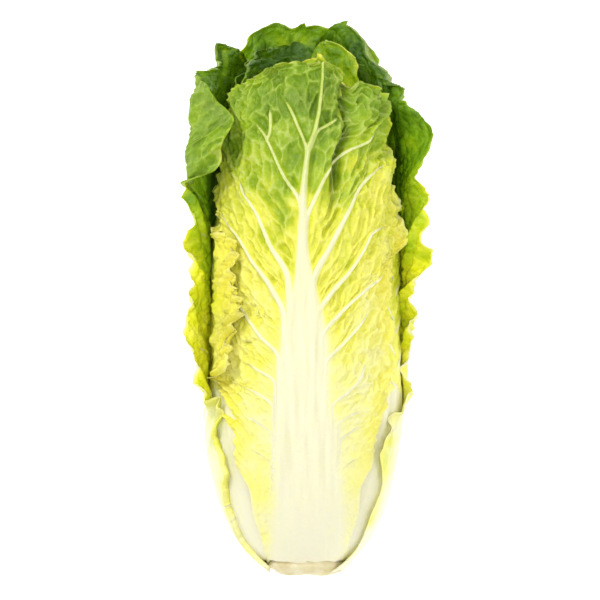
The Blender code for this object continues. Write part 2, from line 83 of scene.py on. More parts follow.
# The core of the heart: a barrel of tightly rolled leaves
CORE_FROM = 0.0715
CORE_TO = 0.262
CORE_RADIUS = 0.0330
CORE_FRONT = 0.0030
CORE_SHAPE = 0.42
CORE_ROLLS = 4
CORE_STEP = 0.06
CORE_TWIST = 0.9
CORE_SEGMENTS = 96
CORE_RINGS = 64
CORE_TONE = 0.25
CORE_GOLD = 0.4

# Rows of a leaf follow its side veins, which rise more steeply towards the tip
VEIN_RISE = (0.05, 1.30)
VEIN_RISE_FROM = 0.055
VEIN_RISE_TO = 0.285
VEIN_BEND = 1.6
TIP_SHARE = 0.92
TIP_ROWS_FROM = 0.74
BASE_THICKNESS = 0.45
BASE_FULL_AT = 0.045
RIB_THINS_FROM = 0.050
RIB_SKIRT = 1.35
RIB_ARCH = 1.5
FRILL_POWER = 2.5
FRILL_GROWS_OVER = 0.040
WRAP_STEPS = 48
ROLLED_WRAP_STEPS = 132
NORMAL_STEP = 0.0003
PROFILE_STEPS = 500
PROFILE_BEYOND_TIP = 0.010
MARGIN_STEPS = 200
BEND_EASE = 0.0020
CROWD = 0.22
TIGHT_BEND = 0.010
ROLL_SLIDE = 0.022
ONWARDS = (0.400, 0.500)

# The fold in the front leaf: its depth, how far it reaches to either side, and the shade painted
# into it
PLEAT_DEPTH = 0.0082
PLEAT_REACH = (0.0021, 0.0062)
PLEAT_GROWS = (0.192, 0.236)
PLEAT_SHADE = 0.94
PLEAT_SHADE_POWER = 1.8

# Fine relief of a leaf. A pair is where something begins and where it is whole: a distance
# from the cut, from the leaf's base or from its margin, or a share of its length
TRIM_FROM = 0.80
RAG_HIGH = (0.78, 0.92)
RAG_GROWS = (0.02, 0.08)
FOOT_RAG = 0.0022
FOOT_RAG_LUMP = 0.006
FOOT_RAG_FADES = (0.0, 0.010)
RIDGE_GROWS = (0.04, 0.16)
FLUTES_GROW = (0.004, 0.05)
RIB_LINES = 0.00020
RIB_LINE_SIZE = (0.0016, 0.090)
PUCKERS_GROW = (0.030, 0.170)
SMOOTH_NEAR_VEIN = (0.9, 1.9)
RUFFLES_GROW_OVER = 0.05
RUFFLES_HIGH = (0.190, 0.228)
BLADE_FULL_AT = 0.006
PALE_EDGE = (0.0002, 0.0013)
RIM = (0.0004, 0.0018)
GOLD_REACH = 0.020
GOLD_GROWS = (0.0, 0.016)
TRIMMED_FOOT = (0.002, 0.009)
TONE_MOTTLE = 0.07

# Veins of the front leaf: (half width where it leaves the rib, then its places as (across
# the head from the middle, distance from the cut)), read off the head as it lies
FRONT_VEINS = mm(
    (1.6, (0.2, 180), (-3.4, 213.9), (-12.6, 229.4), (-20.7, 246.7), (-24.7, 254.7),
     (-33.3, 265.1)),
    (1.2, (-0.6, 222), (0.2, 243.2), (-5.5, 260), (-10.9, 271.4), (-15.5, 277)),
    (2.4, (-8, 130), (-10.3, 170.8), (-20.7, 190.3), (-28.7, 208.7), (-37.4, 224.2), (-39.1, 234),
     (-37.9, 239.8)),
    (2.3, (-11.8, 110), (-12.6, 148.3), (-20.7, 166.8), (-32.2, 182.8), (-37.9, 193.2),
     (-47.1, 207.6), (-48.3, 217.9)),
    (2, (-15, 80), (-15.5, 124.8), (-27, 139.1), (-37.4, 154.1), (-44.3, 165.6)),
    (1.7, (-17.2, 70), (-17.8, 111), (-28.7, 119.6), (-36.2, 123.6)),
    (1.5, (-18.2, 60), (-18.4, 96.6), (-27, 105.2), (-36.2, 109.2)),
    (1.2, (-19, 50), (-19.5, 81), (-28, 89), (-37.4, 94)),
    (1, (-19.5, 36), (-20, 64), (-27, 71), (-35, 75)),
    (0.9, (-19.8, 24), (-20.2, 48), (-25.5, 54), (-32, 58)),
    (1, (2.6, 246), (7.2, 256), (12.8, 259.2), (19.9, 264)),
    (0.8, (-22.5, 250), (-20.5, 258.5), (-21, 269)),
    (1.6, (-0.6, 176), (0, 202.4), (6.9, 220.8), (12.1, 231.1), (17.2, 237.5), (24.7, 244.4),
     (34.5, 249.5), (39.1, 259.9), (37.9, 266.2)),
    (2.4, (3, 130), (4, 167.9), (14.4, 190.3), (24.7, 210.4), (30.5, 223.1), (39.7, 233.4),
     (48.9, 239.2)),
    (2.1, (4.5, 110), (5.2, 147.2), (14.4, 162.7), (24.7, 174.8), (32.8, 187.4), (37.9, 197.2),
     (48.9, 203.5)),
    (2, (7.8, 95), (8.6, 135.7), (19.5, 151.2), (32.8, 163.9), (43.1, 173.6), (46, 178.2)),
    (1.8, (10.3, 80), (10.9, 121.3), (21.3, 134), (32.8, 147.2), (37.9, 157.5)),
    (1.4, (14, 65), (14.9, 97.7), (24.7, 106.9), (30.5, 113.3), (34.5, 122.5), (37.9, 126.5)),
    (1.2, (17.5, 55), (18.4, 86.8), (24.7, 92.6), (34.5, 96.6)),
    (1.1, (18.5, 48), (19.5, 77.6), (29.3, 85.7), (35, 88)),
    (0.9, (19.6, 34), (20.2, 60), (27, 67), (34, 70)),
    (0.8, (19.8, 22), (20.4, 44), (26, 50), (31, 53)),
)
VEIN_SAMPLE = 0.0008
VEIN_REACH = 0.0090
VEIN_LEAST = 0.0008
VEIN_BROAD = 0.0013
VEIN_TAPER = 0.86
VEIN_SINKS = 0.60
VEIN_ENDS_FROM = 0.80
VEIN_STARTS_OVER = 0.030
FAR = 3.0

# What the leaves share unless they say otherwise, in metres outside mm(). Geometry is as in
# the solids. A flute is (place, half width, height), the first two as shares of the rib's
# half width. A swell is a bulge of the stalk: (its middle, half width, heights along the
# head). A ruffle is (wavelength, height on the minus side, on the plus side, reach in from
# the margin, share of it near the tip), and a scallop is (wavelength, height low down,
# height near the tip). A bend is (where it begins, radius, degrees, then where along the
# head it begins, is whole, begins to end and has ended). Tones are for the middle of the
# blade and for its two margins, from 0, cream, to 1, dark green.
PALE_MARGIN = tones((0, 0.15), (80, 0.3), (160, 0.42), (240, 0.62), (310, 0.7))
DARK_MARGIN = tones((0, 0.22), (60, 0.32), (120, 0.4), (180, 0.52), (225, 0.8), (310, 0.95))
DEFAULTS = dict(
    base=0.0015, hood=0.24, hood_from=0.19,
    rib_width=mm((0, 21), (60, 19), (120, 11), (180, 4), (230, 1.6), (270, 0.7), (300, 0.3)),
    rib_path=mm((0, 0), (320, 0)), pale_width=None, tip_shift=0.0, rib_thickness=0.003,
    rib_thin_at=0.21, rib_ends=(0.245, 0.285), ridge=0.0012, frill_minus=0.0008,
    frill_plus=0.0008, frill_lean=0.0, frill_from=0.09, waves=6, phase=0.0, bends_minus=(),
    bends_plus=(), pleat_path=None, drawn=False, top_trim=None,
    flutes=((-0.55, 0.16, 0.0006), (0.0, 0.2, 0.0008), (0.5, 0.16, 0.0006)),
    swell=mm(0, 20, ((0, 0), (320, 0))), side_veins=11, vein_width=0.001, vein_height=0.0009,
    cell=(0.0082, 0.0072), pucker=0.0012,
    ruffles=(
        (0.022, 0.0012, 0.0012, 0.012, 1.5), (0.01, 0.0009, 0.0009, 0.007, 0.4),
        (0.0052, 0.0005, 0.0005, 0.004, 0.3)),
    ruffles_from=0.06, scallops=mm((34, 2.4, 3), (13, 1.4, 0.8), (6, 0.7, 0.3)), columns=80,
    rows=150, inner_step=1,
    tone=tones((0, 0.05), (80, 0.2), (160, 0.45), (240, 0.62), (310, 0.7)),
    gold=tones((0, 0.0), (320, 0.0)), seed=1, tone_minus=PALE_MARGIN, tone_plus=PALE_MARGIN,
)
DARK_TONES = dict(
    tone=tones((0, 0.0), (60, 0.15), (120, 0.5), (180, 0.8), (240, 0.94), (310, 1.0)),
    tone_minus=DARK_MARGIN, tone_plus=DARK_MARGIN,
)
MID_TONES = dict(
    tone=tones((0, 0.0), (60, 0.15), (120, 0.45), (180, 0.66), (240, 0.78), (310, 0.76)),
    tone_minus=tones((0, 0.2), (60, 0.38), (120, 0.5), (180, 0.6), (240, 0.7), (310, 0.66)),
    tone_plus=tones((0, 0.2), (60, 0.38), (120, 0.5), (180, 0.6), (240, 0.74), (310, 0.76)),
)
OUTER_MARGIN = tones(
    (0, 0.52), (80, 0.54), (120, 0.42), (180, 0.5), (215, 0.7), (260, 0.82), (310, 0.9))
OUTER_SCALLOPS = mm((40, 1, 2.4), (24, 2.6, 1.2), (11, 1.3, 0.4))
OUTER_SHARED = dict(
    tone=tones(
        (0, 0.0), (60, 0.15), (120, 0.34), (180, 0.56), (215, 0.78), (260, 0.86), (310, 0.92)),
    shell=(0.0575, 0.12, -0.0062), rib_thickness=0.005,
    ruffles=(
        (0.026, 0.0026, 0.0026, 0.016, 0.9), (0.013, 0.0022, 0.0022, 0.009, 0.35),
        (0.0065, 0.0008, 0.0008, 0.005, 0.2)),
    columns=140, rows=280, scallops=OUTER_SCALLOPS,
)
FLANK_BEHIND = mm((0, 16), (30, 30), (60, 42), (110, 55), (180, 60), (225, 58))
FLANK_SWELL = mm((0, 6.6), (30, 8.6), (60, 7.6), (90, 6.4), (130, 5), (190, 4), (225, 0))
FLANK_SHARED = dict(
    slot="pale_leaf", shell=(0.0502, 0.114, 0.003),
    pale_width=mm((0, 36), (60, 42), (85, 34), (102, 12), (130, 6), (220, 6)),
    rib_ends=(0.098, 0.128), vein_height=0.0001, rib_thickness=0.0036,
)
LEAVES = {
    "leaf_front": dict(
        slot="front_leaf", angle=0, shell=(0.054, 0.118, -0.004), tip=0.297,
        outline_minus=mm(
            (0, 29), (15, 30), (44, 36), (64, 46), (80, 53), (94, 55.5), (105, 58), (113, 66),
            (122, 77), (136, 83), (160, 84), (184, 79), (204, 70), (236, 70), (256, 69),
            (267, 48), (277, 51)),
        outline_plus=mm(
            (0, 29), (15, 29.5), (50, 37), (67, 43), (84.5, 49.5), (104.6, 58), (119, 61),
            (142, 61.5), (159, 59), (182, 65), (194, 73), (208, 73), (222.5, 68), (245.5, 61),
            (265.7, 56.5), (273.5, 63)),
        rib_width=mm(
            (0, 23), (16, 25), (27, 22.8), (45, 20.5), (63, 19), (82, 17.8), (100, 15.8),
            (126.5, 14), (149.5, 10.2), (172, 5.2), (188, 3.2), (217, 1.9), (245, 1.3),
            (268, 0.9), (290, 0.6)),
        rib_path=mm(
            (0, 0), (27, 2), (45, 1.8), (63, 0.6), (82, -0.6), (102, -1.8), (142, -0.4),
            (171, -1.2), (188, -2), (217, -1.8), (233, -0.4), (245, 1.4), (256, 5), (268, 7.4),
            (285, 9)),
        rib_thickness=0.0054, ridge=0.0026, drawn=True, frill_minus=0.001, frill_plus=0.0018,
        frill_lean=0.6,
        bends_minus=(
            (0.0555, -0.0029, 178, 0.084, 0.116, 0.194, 0.216),
            (0.0655, -0.04, 40, 0.084, 0.116, 0.194, 0.216)),
        bends_plus=((0.064, -0.0045, 70, 0.17, 0.186, 0.202, 0.216),),
        pleat_path=mm((205, 14), (222.5, 16.5), (240, 18), (257, 25), (274, 24), (290, 29)),
        top_trim=mm(
            (-52, 0), (-47, 4), (-40, 8), (-31, 5.5), (-21, 2.5), (-10, 2), (0, 3), (10, 3),
            (20, 5.5), (27.5, 11), (31, 15), (36, 10), (45, 9), (55, 8), (63, 0)),
        waves=10,
        flutes=(
            (-0.8, 0.1, 0.0006), (-0.46, 0.15, 0.001), (-0.06, 0.17, 0.0012),
            (0.34, 0.12, 0.0008), (0.7, 0.12, 0.0009)),
        vein_height=0.0015, pucker=0.0019,
        ruffles=(
            (0.024, 0.0014, 0.0014, 0.016, 2.2), (0.01, 0.0029, 0.0009, 0.015, 0.08),
            (0.0058, 0.002, 0.0005, 0.013, 0.04)),
        ruffles_from=0.055, columns=196, rows=384, inner_step=2,
        tone=tones(
            (0, 0.0), (60, 0.15), (110, 0.23), (150, 0.32), (185, 0.42), (215, 0.53), (240, 0.65),
            (268, 0.76), (300, 0.8)),
        tone_minus=tones(
            (0, 0.1), (60, 0.24), (100, 0.31), (190, 0.33), (215, 0.42), (236, 0.6), (268, 0.76),
            (300, 0.8)),
        tone_plus=tones(
            (0, 0.1), (60, 0.2), (140, 0.22), (190, 0.24), (215, 0.35), (236, 0.53), (268, 0.7),
            (300, 0.76)),
        gold=tones((0, 0.0), (40, 0.25), (100, 0.7), (190, 0.85), (215, 0.25), (240, 0.0)),
    ),
    "leaf_outer_left": dict(
        **OUTER_SHARED, tone_minus=OUTER_MARGIN,
        tone_plus=tones(
            (0, 0.4), (80, 0.47), (120, 0.39), (180, 0.48), (215, 0.7), (260, 0.82), (310, 0.9)),
        slot="mid_leaf", angle=-118, tip=0.306,
        outline_minus=mm((0, 12), (12, 19), (30, 30), (60, 42), (100, 50), (160, 50), (240, 48)),
        outline_plus=mm(
            (0, 21), (21, 27), (38.5, 37.5), (61, 48), (84.5, 54.5), (99, 58), (107.5, 65.5),
            (117, 63), (150, 63), (180, 59), (203, 63), (219, 64.5), (226, 71), (234, 84),
            (250, 92), (264, 95), (279, 88)),
        top_trim=mm((0, 0), (5.5, 0), (9.5, 10), (30, 11), (60, 10), (95, 8)),
        pale_width=mm(
            (0, 45), (30, 37), (60, 50), (85, 56), (102, 50), (125, 16), (190, 4), (250, 1.2),
            (300, 0.3)),
        swell=mm(30, 36, ((0, 1), (30, 4.2), (70, 4), (100, 1.6), (120, 0))), hood=0.08,
        frill_plus=0.003,
        bends_plus=(
            (0.028, -0.055, 60, 0.088, 0.125, *ONWARDS),
            (0.0635, 0.005, 118, 0.182, 0.214, *ONWARDS)),
        waves=10, seed=2,
    ),
    "leaf_outer_right": dict(
        **OUTER_SHARED,
        tone_minus=tones(
            (0, 0.4), (80, 0.46), (120, 0.34), (180, 0.4), (215, 0.62), (260, 0.8), (310, 0.9)),
        tone_plus=OUTER_MARGIN, slot="dark_leaf", angle=126, tip=0.3205,
        outline_minus=mm(
            (0, 28), (12, 36), (38, 50), (61, 60), (86, 67), (108, 49), (134, 43), (165, 53),
            (200, 66), (210, 60), (219.5, 53), (228, 58), (237, 64.5), (248, 65), (263, 66.5),
            (272, 60), (279, 44), (287, 22), (297, 11), (306, 12), (313.5, 15.5)),
        outline_plus=mm((0, 11), (12, 18), (30, 26), (60, 40), (100, 46), (160, 48), (235, 46)),
        pale_width=mm(
            (0, 52), (30, 46), (60, 54.5), (85, 60), (102, 48), (125, 16), (190, 4), (250, 1.2),
            (300, 0.3)),
        tip_shift=0.02, hood=0.16, frill_minus=0.0032,
        bends_minus=(
            (0.03, -0.05, 60, 0.088, 0.122, *ONWARDS),
            (0.003, 0.0055, 100, 0.29, 0.306, *ONWARDS)),
        rib_path=mm((0, 0), (240, 0), (280, 6), (320, 20)), waves=9, seed=3,
    ),
    "leaf_back": dict(
        **MID_TONES, slot="mid_leaf", angle=180, shell=(0.0625, 0.1, -0.0038), tip=0.3245,
        top_trim=mm(
            (-40, 8), (-24, 6), (-14, 4.5), (-5, 3), (2, 3.8), (8, 6.2), (13, 3), (20.5, 0),
            (28, 1), (45, 5)),
        outline_minus=mm(
            (0, 6), (12, 10), (30, 28), (60, 46), (100, 56), (150, 66), (200, 70), (245, 62)),
        outline_plus=mm(
            (0, 6), (12, 10), (30, 28), (60, 46), (100, 54), (150, 64), (200, 69), (250, 58),
            (292, 43)),
        rib_thickness=0.0036, hood=0.16, frill_minus=0.0026, frill_plus=0.0028, frill_lean=1.0,
        waves=9,
        ruffles=(
            (0.026, 0.002, 0.002, 0.016, 0.9), (0.013, 0.0018, 0.0018, 0.009, 0.35),
            (0.0065, 0.0008, 0.0008, 0.005, 0.2)),
        scallops=OUTER_SCALLOPS, columns=110, rows=220, seed=4,
    ),
    "leaf_flank_left": dict(
        **FLANK_SHARED, angle=-70, tip=0.28, outline_minus=FLANK_BEHIND,
        outline_plus=mm((0, 14), (30, 20), (60, 26), (110, 31), (220, 34)),
        swell=(-0.012, 0.027, FLANK_SWELL), seed=5,
    ),
    "leaf_flank_right": dict(
        **FLANK_SHARED, angle=70, tip=0.282,
        outline_minus=mm((0, 14), (30, 20), (60, 26), (110, 31), (160, 30), (220, 20)),
        outline_plus=FLANK_BEHIND, swell=(0.012, 0.027, FLANK_SWELL), phase=0.9, seed=6,
    ),
    "leaf_inner_front": dict(
        slot="pale_leaf", angle=10, shell=(0.043, 0.11, 0.009), tip=0.2985,
        outline_minus=mm((0, 14), (50, 24), (110, 34), (180, 36), (262, 26)),
        outline_plus=mm((0, 14), (50, 24), (110, 34), (180, 32), (262, 16)), seed=7,
    ),
    "leaf_rear": dict(
        **DARK_TONES, slot="dark_leaf", angle=-168, shell=(0.0462, 0.11, 0.009), tip=0.307,
        outline_minus=mm((0, 14), (50, 28), (110, 46), (180, 54), (250, 50)),
        outline_plus=mm((0, 14), (50, 28), (110, 46), (180, 54), (262, 52)), rib_thickness=0.0028,
        hood=0.18, waves=7, seed=8,
    ),
    "leaf_hollow_left": dict(
        **DARK_TONES, slot="dark_leaf", angle=-148, shell=(0.0418, 0.106, 0.015), tip=0.301,
        outline_minus=mm((0, 12), (50, 22), (110, 34), (180, 42), (250, 40)),
        outline_plus=mm((0, 12), (50, 24), (110, 36), (180, 46), (264, 49)), rib_thickness=0.0026,
        hood=0.21, phase=2.0, seed=9,
    ),
    "leaf_hollow_right": dict(
        **MID_TONES, slot="mid_leaf", angle=157, shell=(0.0382, 0.102, 0.021), tip=0.311,
        outline_minus=mm((0, 10), (50, 18), (110, 24), (180, 27), (262, 26)),
        outline_plus=mm((0, 10), (50, 18), (110, 22), (180, 22), (268, 15)), rib_thickness=0.0022,
        hood=0.24, waves=5, phase=0.7, columns=60, rows=140, seed=10,
    ),
}


def heart_leaf(seed, angle, radius, tip, phase, widths, shoulders):
    """What one heart leaf says. Its two margins differ only in how high their shoulders are."""
    low, middle, high = widths
    leaf = dict(seed=seed, angle=angle, shell=(radius, 0.150, 0.090), tip=tip, phase=phase)
    for side, shoulder in zip(("minus", "plus"), shoulders):
        leaf["outline_" + side] = mm((110, low), (180, middle), (shoulder, high))
    return leaf


HEART_MARGIN = tones((0, 0.20), (320, 0.42))
HEART_DEFAULTS = DEFAULTS | dict(
    base=0.11, hood_from=0.215, hood=0.55, rib_width=mm((0, 8), (200, 5), (300, 2)),
    rib_thickness=0.0024, rib_thin_at=0.28, frill_from=0.18, frill_minus=0.0014,
    frill_plus=0.0014, waves=3, columns=40, rows=70, tone=tones((0, 0.1), (320, 0.38)),
    gold=tones((0, 0.5), (320, 0.5)), tone_minus=HEART_MARGIN, tone_plus=HEART_MARGIN,
)
HEART_LEAVES = (
    heart_leaf(21, 18, 0.0400, 0.289, 0.0, (18, 33, 34), (250, 250)),
    heart_leaf(22, -62, 0.0365, 0.284, 1.5, (16, 28, 30), (245, 250)),
    heart_leaf(23, 96, 0.0345, 0.281, 0.6, (16, 26, 26), (245, 245)),
    heart_leaf(24, -158, 0.0345, 0.287, 2.4, (16, 26, 28), (250, 245)),
    heart_leaf(25, -10, 0.0290, 0.285, 3.1, (16, 22, 24), (255, 250)),
)

# Colours as the eye sees them, 0 to 255. Tones run from cream to dark green.
INSIDE_TONES = (
    (0.00, (248, 245, 212)),
    (0.22, (252, 249, 122)),
    (0.40, (238, 240, 44)),
    (0.58, (190, 212, 26)),
    (0.78, (120, 162, 14)),
    (1.00, (62, 104, 6)),
)
OUTSIDE_TONES = (
    (0.00, (247, 243, 208)),
    (0.22, (255, 252, 150)),
    (0.36, (254, 250, 108)),
    (0.50, (226, 231, 62)),
    (0.62, (176, 202, 38)),
    (0.78, (134, 170, 34)),
    (1.00, (138, 163, 72)),
)
OUTSIDE_VEINS = (
    (0.00, (246, 242, 212)),
    (0.45, (249, 248, 202)),
    (0.80, (206, 222, 104)),
    (1.00, (176, 200, 110)),
)
INSIDE_VEINS = (
    (0.00, (246, 242, 212)),
    (0.40, (246, 247, 150)),
    (0.70, (176, 206, 62)),
    (1.00, (112, 152, 34)),
)
GOLD = (255, 246, 92)
STEM_TAN = (249, 241, 206)
STEM_BROWN = (222, 206, 148)
# Painted shade: what the colour is multiplied by in the hollows of the puckers, in the fold of
# the pleat and in streaks along the rib and veins
SHADE_IN_HOLLOWS = (0.66, 0.70, 0.36, 1.0)
SHADE_IN_PLEAT = (0.16, 0.24, 0.06, 1.0)
SHADE_IN_STREAKS = (0.92, 0.91, 0.87, 1.0)

# The view: straight down on the head, through a long lens
VIEW_CENTRE = (-0.0035, 0.0340)
VIEW_WIDTH = 0.345
VIEW_LEVEL = 0.085
VIEW_DISTANCE = 4.0
SENSOR = 0.036

# How much each thing changes the leaf's tone, its veins and its skin
BLOTCHES = 0.34
# Shade painted into the hollows: how much darker their tone is
HOLLOW_SHADE_TONE = 0.040
WEB_TONE = 0.035
RIM_TONE = 0.40
GREEN = (0.38, 0.60)
# Shade painted into the hollows: how much their colour is darkened, where yellow and where green
HOLLOW_SHADE_STRENGTH = (0.08, 0.24)
NET_SHARE = 0.31
FINE_NET_SHARE = 0.20
NET_LEAST = 0.25
# Shade painted in streaks along the rib and veins: how far the noise is drawn out, its size,
# where it shows and where along the head it grows
RIB_SHADE_STRETCH = 9.5
RIB_SHADE_SCALE = 24.0
RIB_SHADE_BAND = (0.42, 0.64)
RIB_SHADE_GROWS = (0.025, 0.080)

# Lights as (name, place, size, power), the point that they face, and the white floor
LIGHTS = (
    ("key", (-1.0, 1.1, 1.5), 0.5, 15.5),
    ("fill", (1.3, -0.5, 1.0), 0.9, 4.5),
    ("top", (0.1, 0.0, 2.4), 0.7, 14.5),
)
LIGHTS_FACE = (0.0, 0.03, 0.05)
WORLD_LIGHT = 0.555
FLOOR_GLOW = 0.68
FLOOR_SIZE = 8.0
FLOOR_LEVEL = -0.0004


def smoothstep(x, low, high):
    """0 below low, 1 above high, and smooth in between."""
    t = np.clip((x - low) / (high - low), 0.0, 1.0)
    return t * t * (3.0 - 2.0 * t)


def curve_through(points, x):
    """A smooth curve through points, read at x. It doesn't overshoot them."""
    px, py = np.array(points, float).T
    if len(px) == 2:
        return np.interp(x, px, py)
    slope = np.diff(py) / np.diff(px)
    tangent = np.concatenate([[slope[0]], np.zeros(len(px) - 2), [slope[-1]]])
    same_way = slope[:-1] * slope[1:] > 0
    middle = np.zeros(len(slope) - 1)
    middle[same_way] = 2.0 / (1.0 / slope[:-1][same_way] + 1.0 / slope[1:][same_way])
    tangent[1:-1] = middle
    x = np.clip(x, px[0], px[-1])
    i = np.clip(np.searchsorted(px, x, side="right") - 1, 0, len(px) - 2)
    width = px[i + 1] - px[i]
    t = (x - px[i]) / width
    return (
        py[i] * (1 + 2 * t) * (1 - t) ** 2
        + tangent[i] * width * t * (1 - t) ** 2
        + py[i + 1] * t * t * (3 - 2 * t)
        + tangent[i + 1] * width * t * t * (t - 1)
    )


def scatter(ix, iy, seed):
    """Repeatable random numbers from 0 to 1 for whole-number places."""
    n = ix.astype(np.int64) * 374761393 + iy.astype(np.int64) * 668265263 + seed * 974711
    n = ((n ^ (n >> 13)) & 0xFFFFFFFF) * 1274126177
    n = (n ^ (n >> 16)) & 0xFFFFFF
    return n / float(0xFFFFFF)


def noise(x, y, seed):
    """Smooth noise from -1 to 1 with lumps about one unit across."""
    ix, iy = np.floor(x), np.floor(y)
    fx, fy = x - ix, y - iy
    fx = fx * fx * (3 - 2 * fx)
    fy = fy * fy * (3 - 2 * fy)
    low = scatter(ix, iy, seed) * (1 - fx) + scatter(ix + 1, iy, seed) * fx
    high = scatter(ix, iy + 1, seed) * (1 - fx) + scatter(ix + 1, iy + 1, seed) * fx
    return 2 * (low * (1 - fy) + high * fy) - 1


def cells(x, y, seed):
    """Distances to the nearest and the next of points scattered one to a unit square, and a
    random number of the nearest."""
    ix, iy = np.floor(x), np.floor(y)
    nearest = np.full(x.shape, 9.0)
    second = np.full(x.shape, 9.0)
    lot = np.zeros(x.shape)
    for dx in (-1, 0, 1):
        for dy in (-1, 0, 1):
            px = ix + dx + scatter(ix + dx, iy + dy, seed)
            py = iy + dy + scatter(ix + dx, iy + dy, seed + 1)
            far = np.hypot(px - x, py - y)
            closer = far < nearest
            second = np.where(closer, nearest, np.minimum(second, far))
            lot = np.where(closer, scatter(ix + dx, iy + dy, seed + 2), lot)
            nearest = np.where(closer, far, nearest)
    return nearest, second, lot


def stem_radius(y):
    """Radius of the stem at a distance from the cut, and 0 beyond its end."""
    y_of, radius_of = np.array(STEM_SIDE).T
    return np.interp(y, y_of, radius_of)


def shell_radius(leaf, y):
    """Radius of a leaf's shell: an elliptical bottom, a straight barrel and a hooded top."""
    radius, bottom, offset = leaf.shell
    rise = np.clip((y - offset) / bottom, 0.0, 1.0)
    barrel = radius * np.sqrt(1.0 - (1.0 - rise) ** 2)
    hood = np.clip((y - leaf.hood_from) / (HEAD_LENGTH - leaf.hood_from), 0.0, 1.0)
    return barrel * (1.0 - leaf.hood * hood**2)


def profile(leaf):
    """Distance from the cut, shell radius and length along the leaf, from its base upwards."""
    y = np.linspace(leaf.base, HEAD_LENGTH + PROFILE_BEYOND_TIP, PROFILE_STEPS)
    r = shell_radius(leaf, y)
    first = np.argmax(r > stem_radius(y) + GAP)
    y, r = y[first:], r[first:]
    step = np.hypot(np.diff(y), np.diff(r))
    return y, r, np.concatenate([[0.0], np.cumsum(step)])


def margin(leaf, side, along):
    """Half width, length along the leaf and run from the base, at each share of the margin."""
    y_of, _, length_of = profile(leaf)
    outline = getattr(leaf, "outline_" + side)
    shoulder, width = outline[-1]
    low = np.linspace(y_of[0], shoulder, MARGIN_STEPS)
    turn = np.linspace(0.0, math.pi / 2, MARGIN_STEPS)[1:]
    y = np.concatenate([low, shoulder + (leaf.tip - shoulder) * np.sin(turn)])
    half = np.concatenate([curve_through(outline, low), width * np.cos(turn)])
    length = np.interp(y, y_of, length_of)
    run = np.concatenate([[0.0], np.cumsum(np.hypot(np.diff(length), np.diff(half)))])
    share = along * TIP_SHARE * run[-1]
    tooth = 1 + SCALLOP * np.cos(2 * math.pi * leaf.waves * along + leaf.phase)
    return np.interp(share, run, half) * tooth, np.interp(share, run, length), share


def row_rise(along, half, length, tip_length):
    """How far a row rises from the midrib to the margin. The last rows arch over the tip."""
    steep = np.clip((length - VEIN_RISE_FROM) / (VEIN_RISE_TO - VEIN_RISE_FROM), 0.0, 1.0)
    rise = half * (VEIN_RISE[0] + (VEIN_RISE[1] - VEIN_RISE[0]) * steep)
    return rise + (length - tip_length - rise) * smoothstep(along, TIP_ROWS_FROM, 1.0)


def tip_length(leaf):
    """Length along the leaf from its base to its tip."""
    y_of, _, length_of = profile(leaf)
    return np.interp(leaf.tip, y_of, length_of)


def flat_leaf(leaf):
    """The leaf laid flat, as a grid: rows along its side veins and columns along its margins."""
    columns = np.linspace(-1.0, 1.0, leaf.columns + 1)
    across = (columns * (1 + CROWD * (1 - columns**2)))[None, :]
    along = np.linspace(0.0, 1.0, leaf.rows + 1)
    tip = tip_length(leaf)
    half_minus, length_minus, run_minus = margin(leaf, "minus", along)
    half_plus, length_plus, run_plus = margin(leaf, "plus", along)
    start_minus = length_minus - row_rise(along, half_minus, length_minus, tip)
    start_plus = length_plus - row_rise(along, half_plus, length_plus, tip)
    middle = np.maximum((start_minus + start_plus) / 2, 0.0)[:, None]

    def of_side(minus, plus):
        """At each point, the value for its own side of the leaf."""
        return np.where(across > 0, plus[:, None], minus[:, None])

    half = of_side(half_minus, half_plus)
    length = of_side(length_minus, length_plus)
    run = of_side(run_minus, run_plus)
    share = np.abs(across)
    along = np.broadcast_to(along[:, None], half.shape)
    round_tip = smoothstep(along, TIP_ROWS_FROM, 1.0)
    drop = (1 - (1 - share) ** VEIN_BEND) * (1 - round_tip) + share**2 * round_tip
    length = middle + (length - middle) * drop
    a = across * half
    side_gap = (1 - share) * half
    top_gap = length[-1:, :] - length
    across = np.broadcast_to(across, half.shape)
    flat = SimpleNamespace(across=across, along=along, a=a, length=length, run=run + side_gap)
    top_gap = np.maximum(top_gap, 0.0)
    both_gaps = side_gap + top_gap + 1e-6
    flat.edge = side_gap * top_gap / both_gaps
    flat.side = np.where(across > 0, 1.0, 0.0)
    out_minus, up_minus = outward(half_minus, length_minus)
    out_plus, up_plus = outward(half_plus, length_plus)
    to_top = side_gap / both_gaps
    flat.out = (1 - to_top) * of_side(-out_minus, out_plus)
    flat.up = to_top + (1 - to_top) * of_side(up_minus, up_plus)
    return trimmed(leaf, flat, tip)


def outward(half, length):
    """Direction out of the leaf along its margin, as shares across and along it."""
    rise, run = np.gradient(length), np.gradient(half)
    size = np.hypot(rise, run) + 1e-9
    return rise / size, np.maximum(-run / size, 0.0)


def trimmed(leaf, flat, tip):
    """Gives the flat leaf its notches at the top and its ragged margin."""
    if leaf.top_trim:
        near_top = smoothstep(flat.length, TRIM_FROM * tip, tip)
        flat.length = flat.length - curve_through(leaf.top_trim, flat.a) * near_top
    rag = np.zeros(flat.a.shape)
    high = smoothstep(flat.length / tip, *RAG_HIGH)
    for number, (wavelength, low_height, high_height) in enumerate(leaf.scallops):
        swing = noise(2 * flat.run / wavelength, flat.side * 9, leaf.seed * 31 + number)
        height = low_height * (1 - high) + high_height * high
        rag += height * swing * np.exp(-flat.edge / (0.4 * wavelength))
    rag *= smoothstep(flat.length, *RAG_GROWS)
    foot = FOOT_RAG * (1 + noise(flat.a / FOOT_RAG_LUMP, flat.side, leaf.seed))
    flat.length = flat.length + foot * (1 - smoothstep(flat.length, *FOOT_RAG_FADES))
    flat.a = flat.a + rag * flat.out
    flat.a = flat.a + leaf.tip_shift * smoothstep(flat.length, RAG_HIGH[0] * tip, tip)
    flat.length = np.clip(flat.length + rag * flat.up, 0.0, None)
    return flat


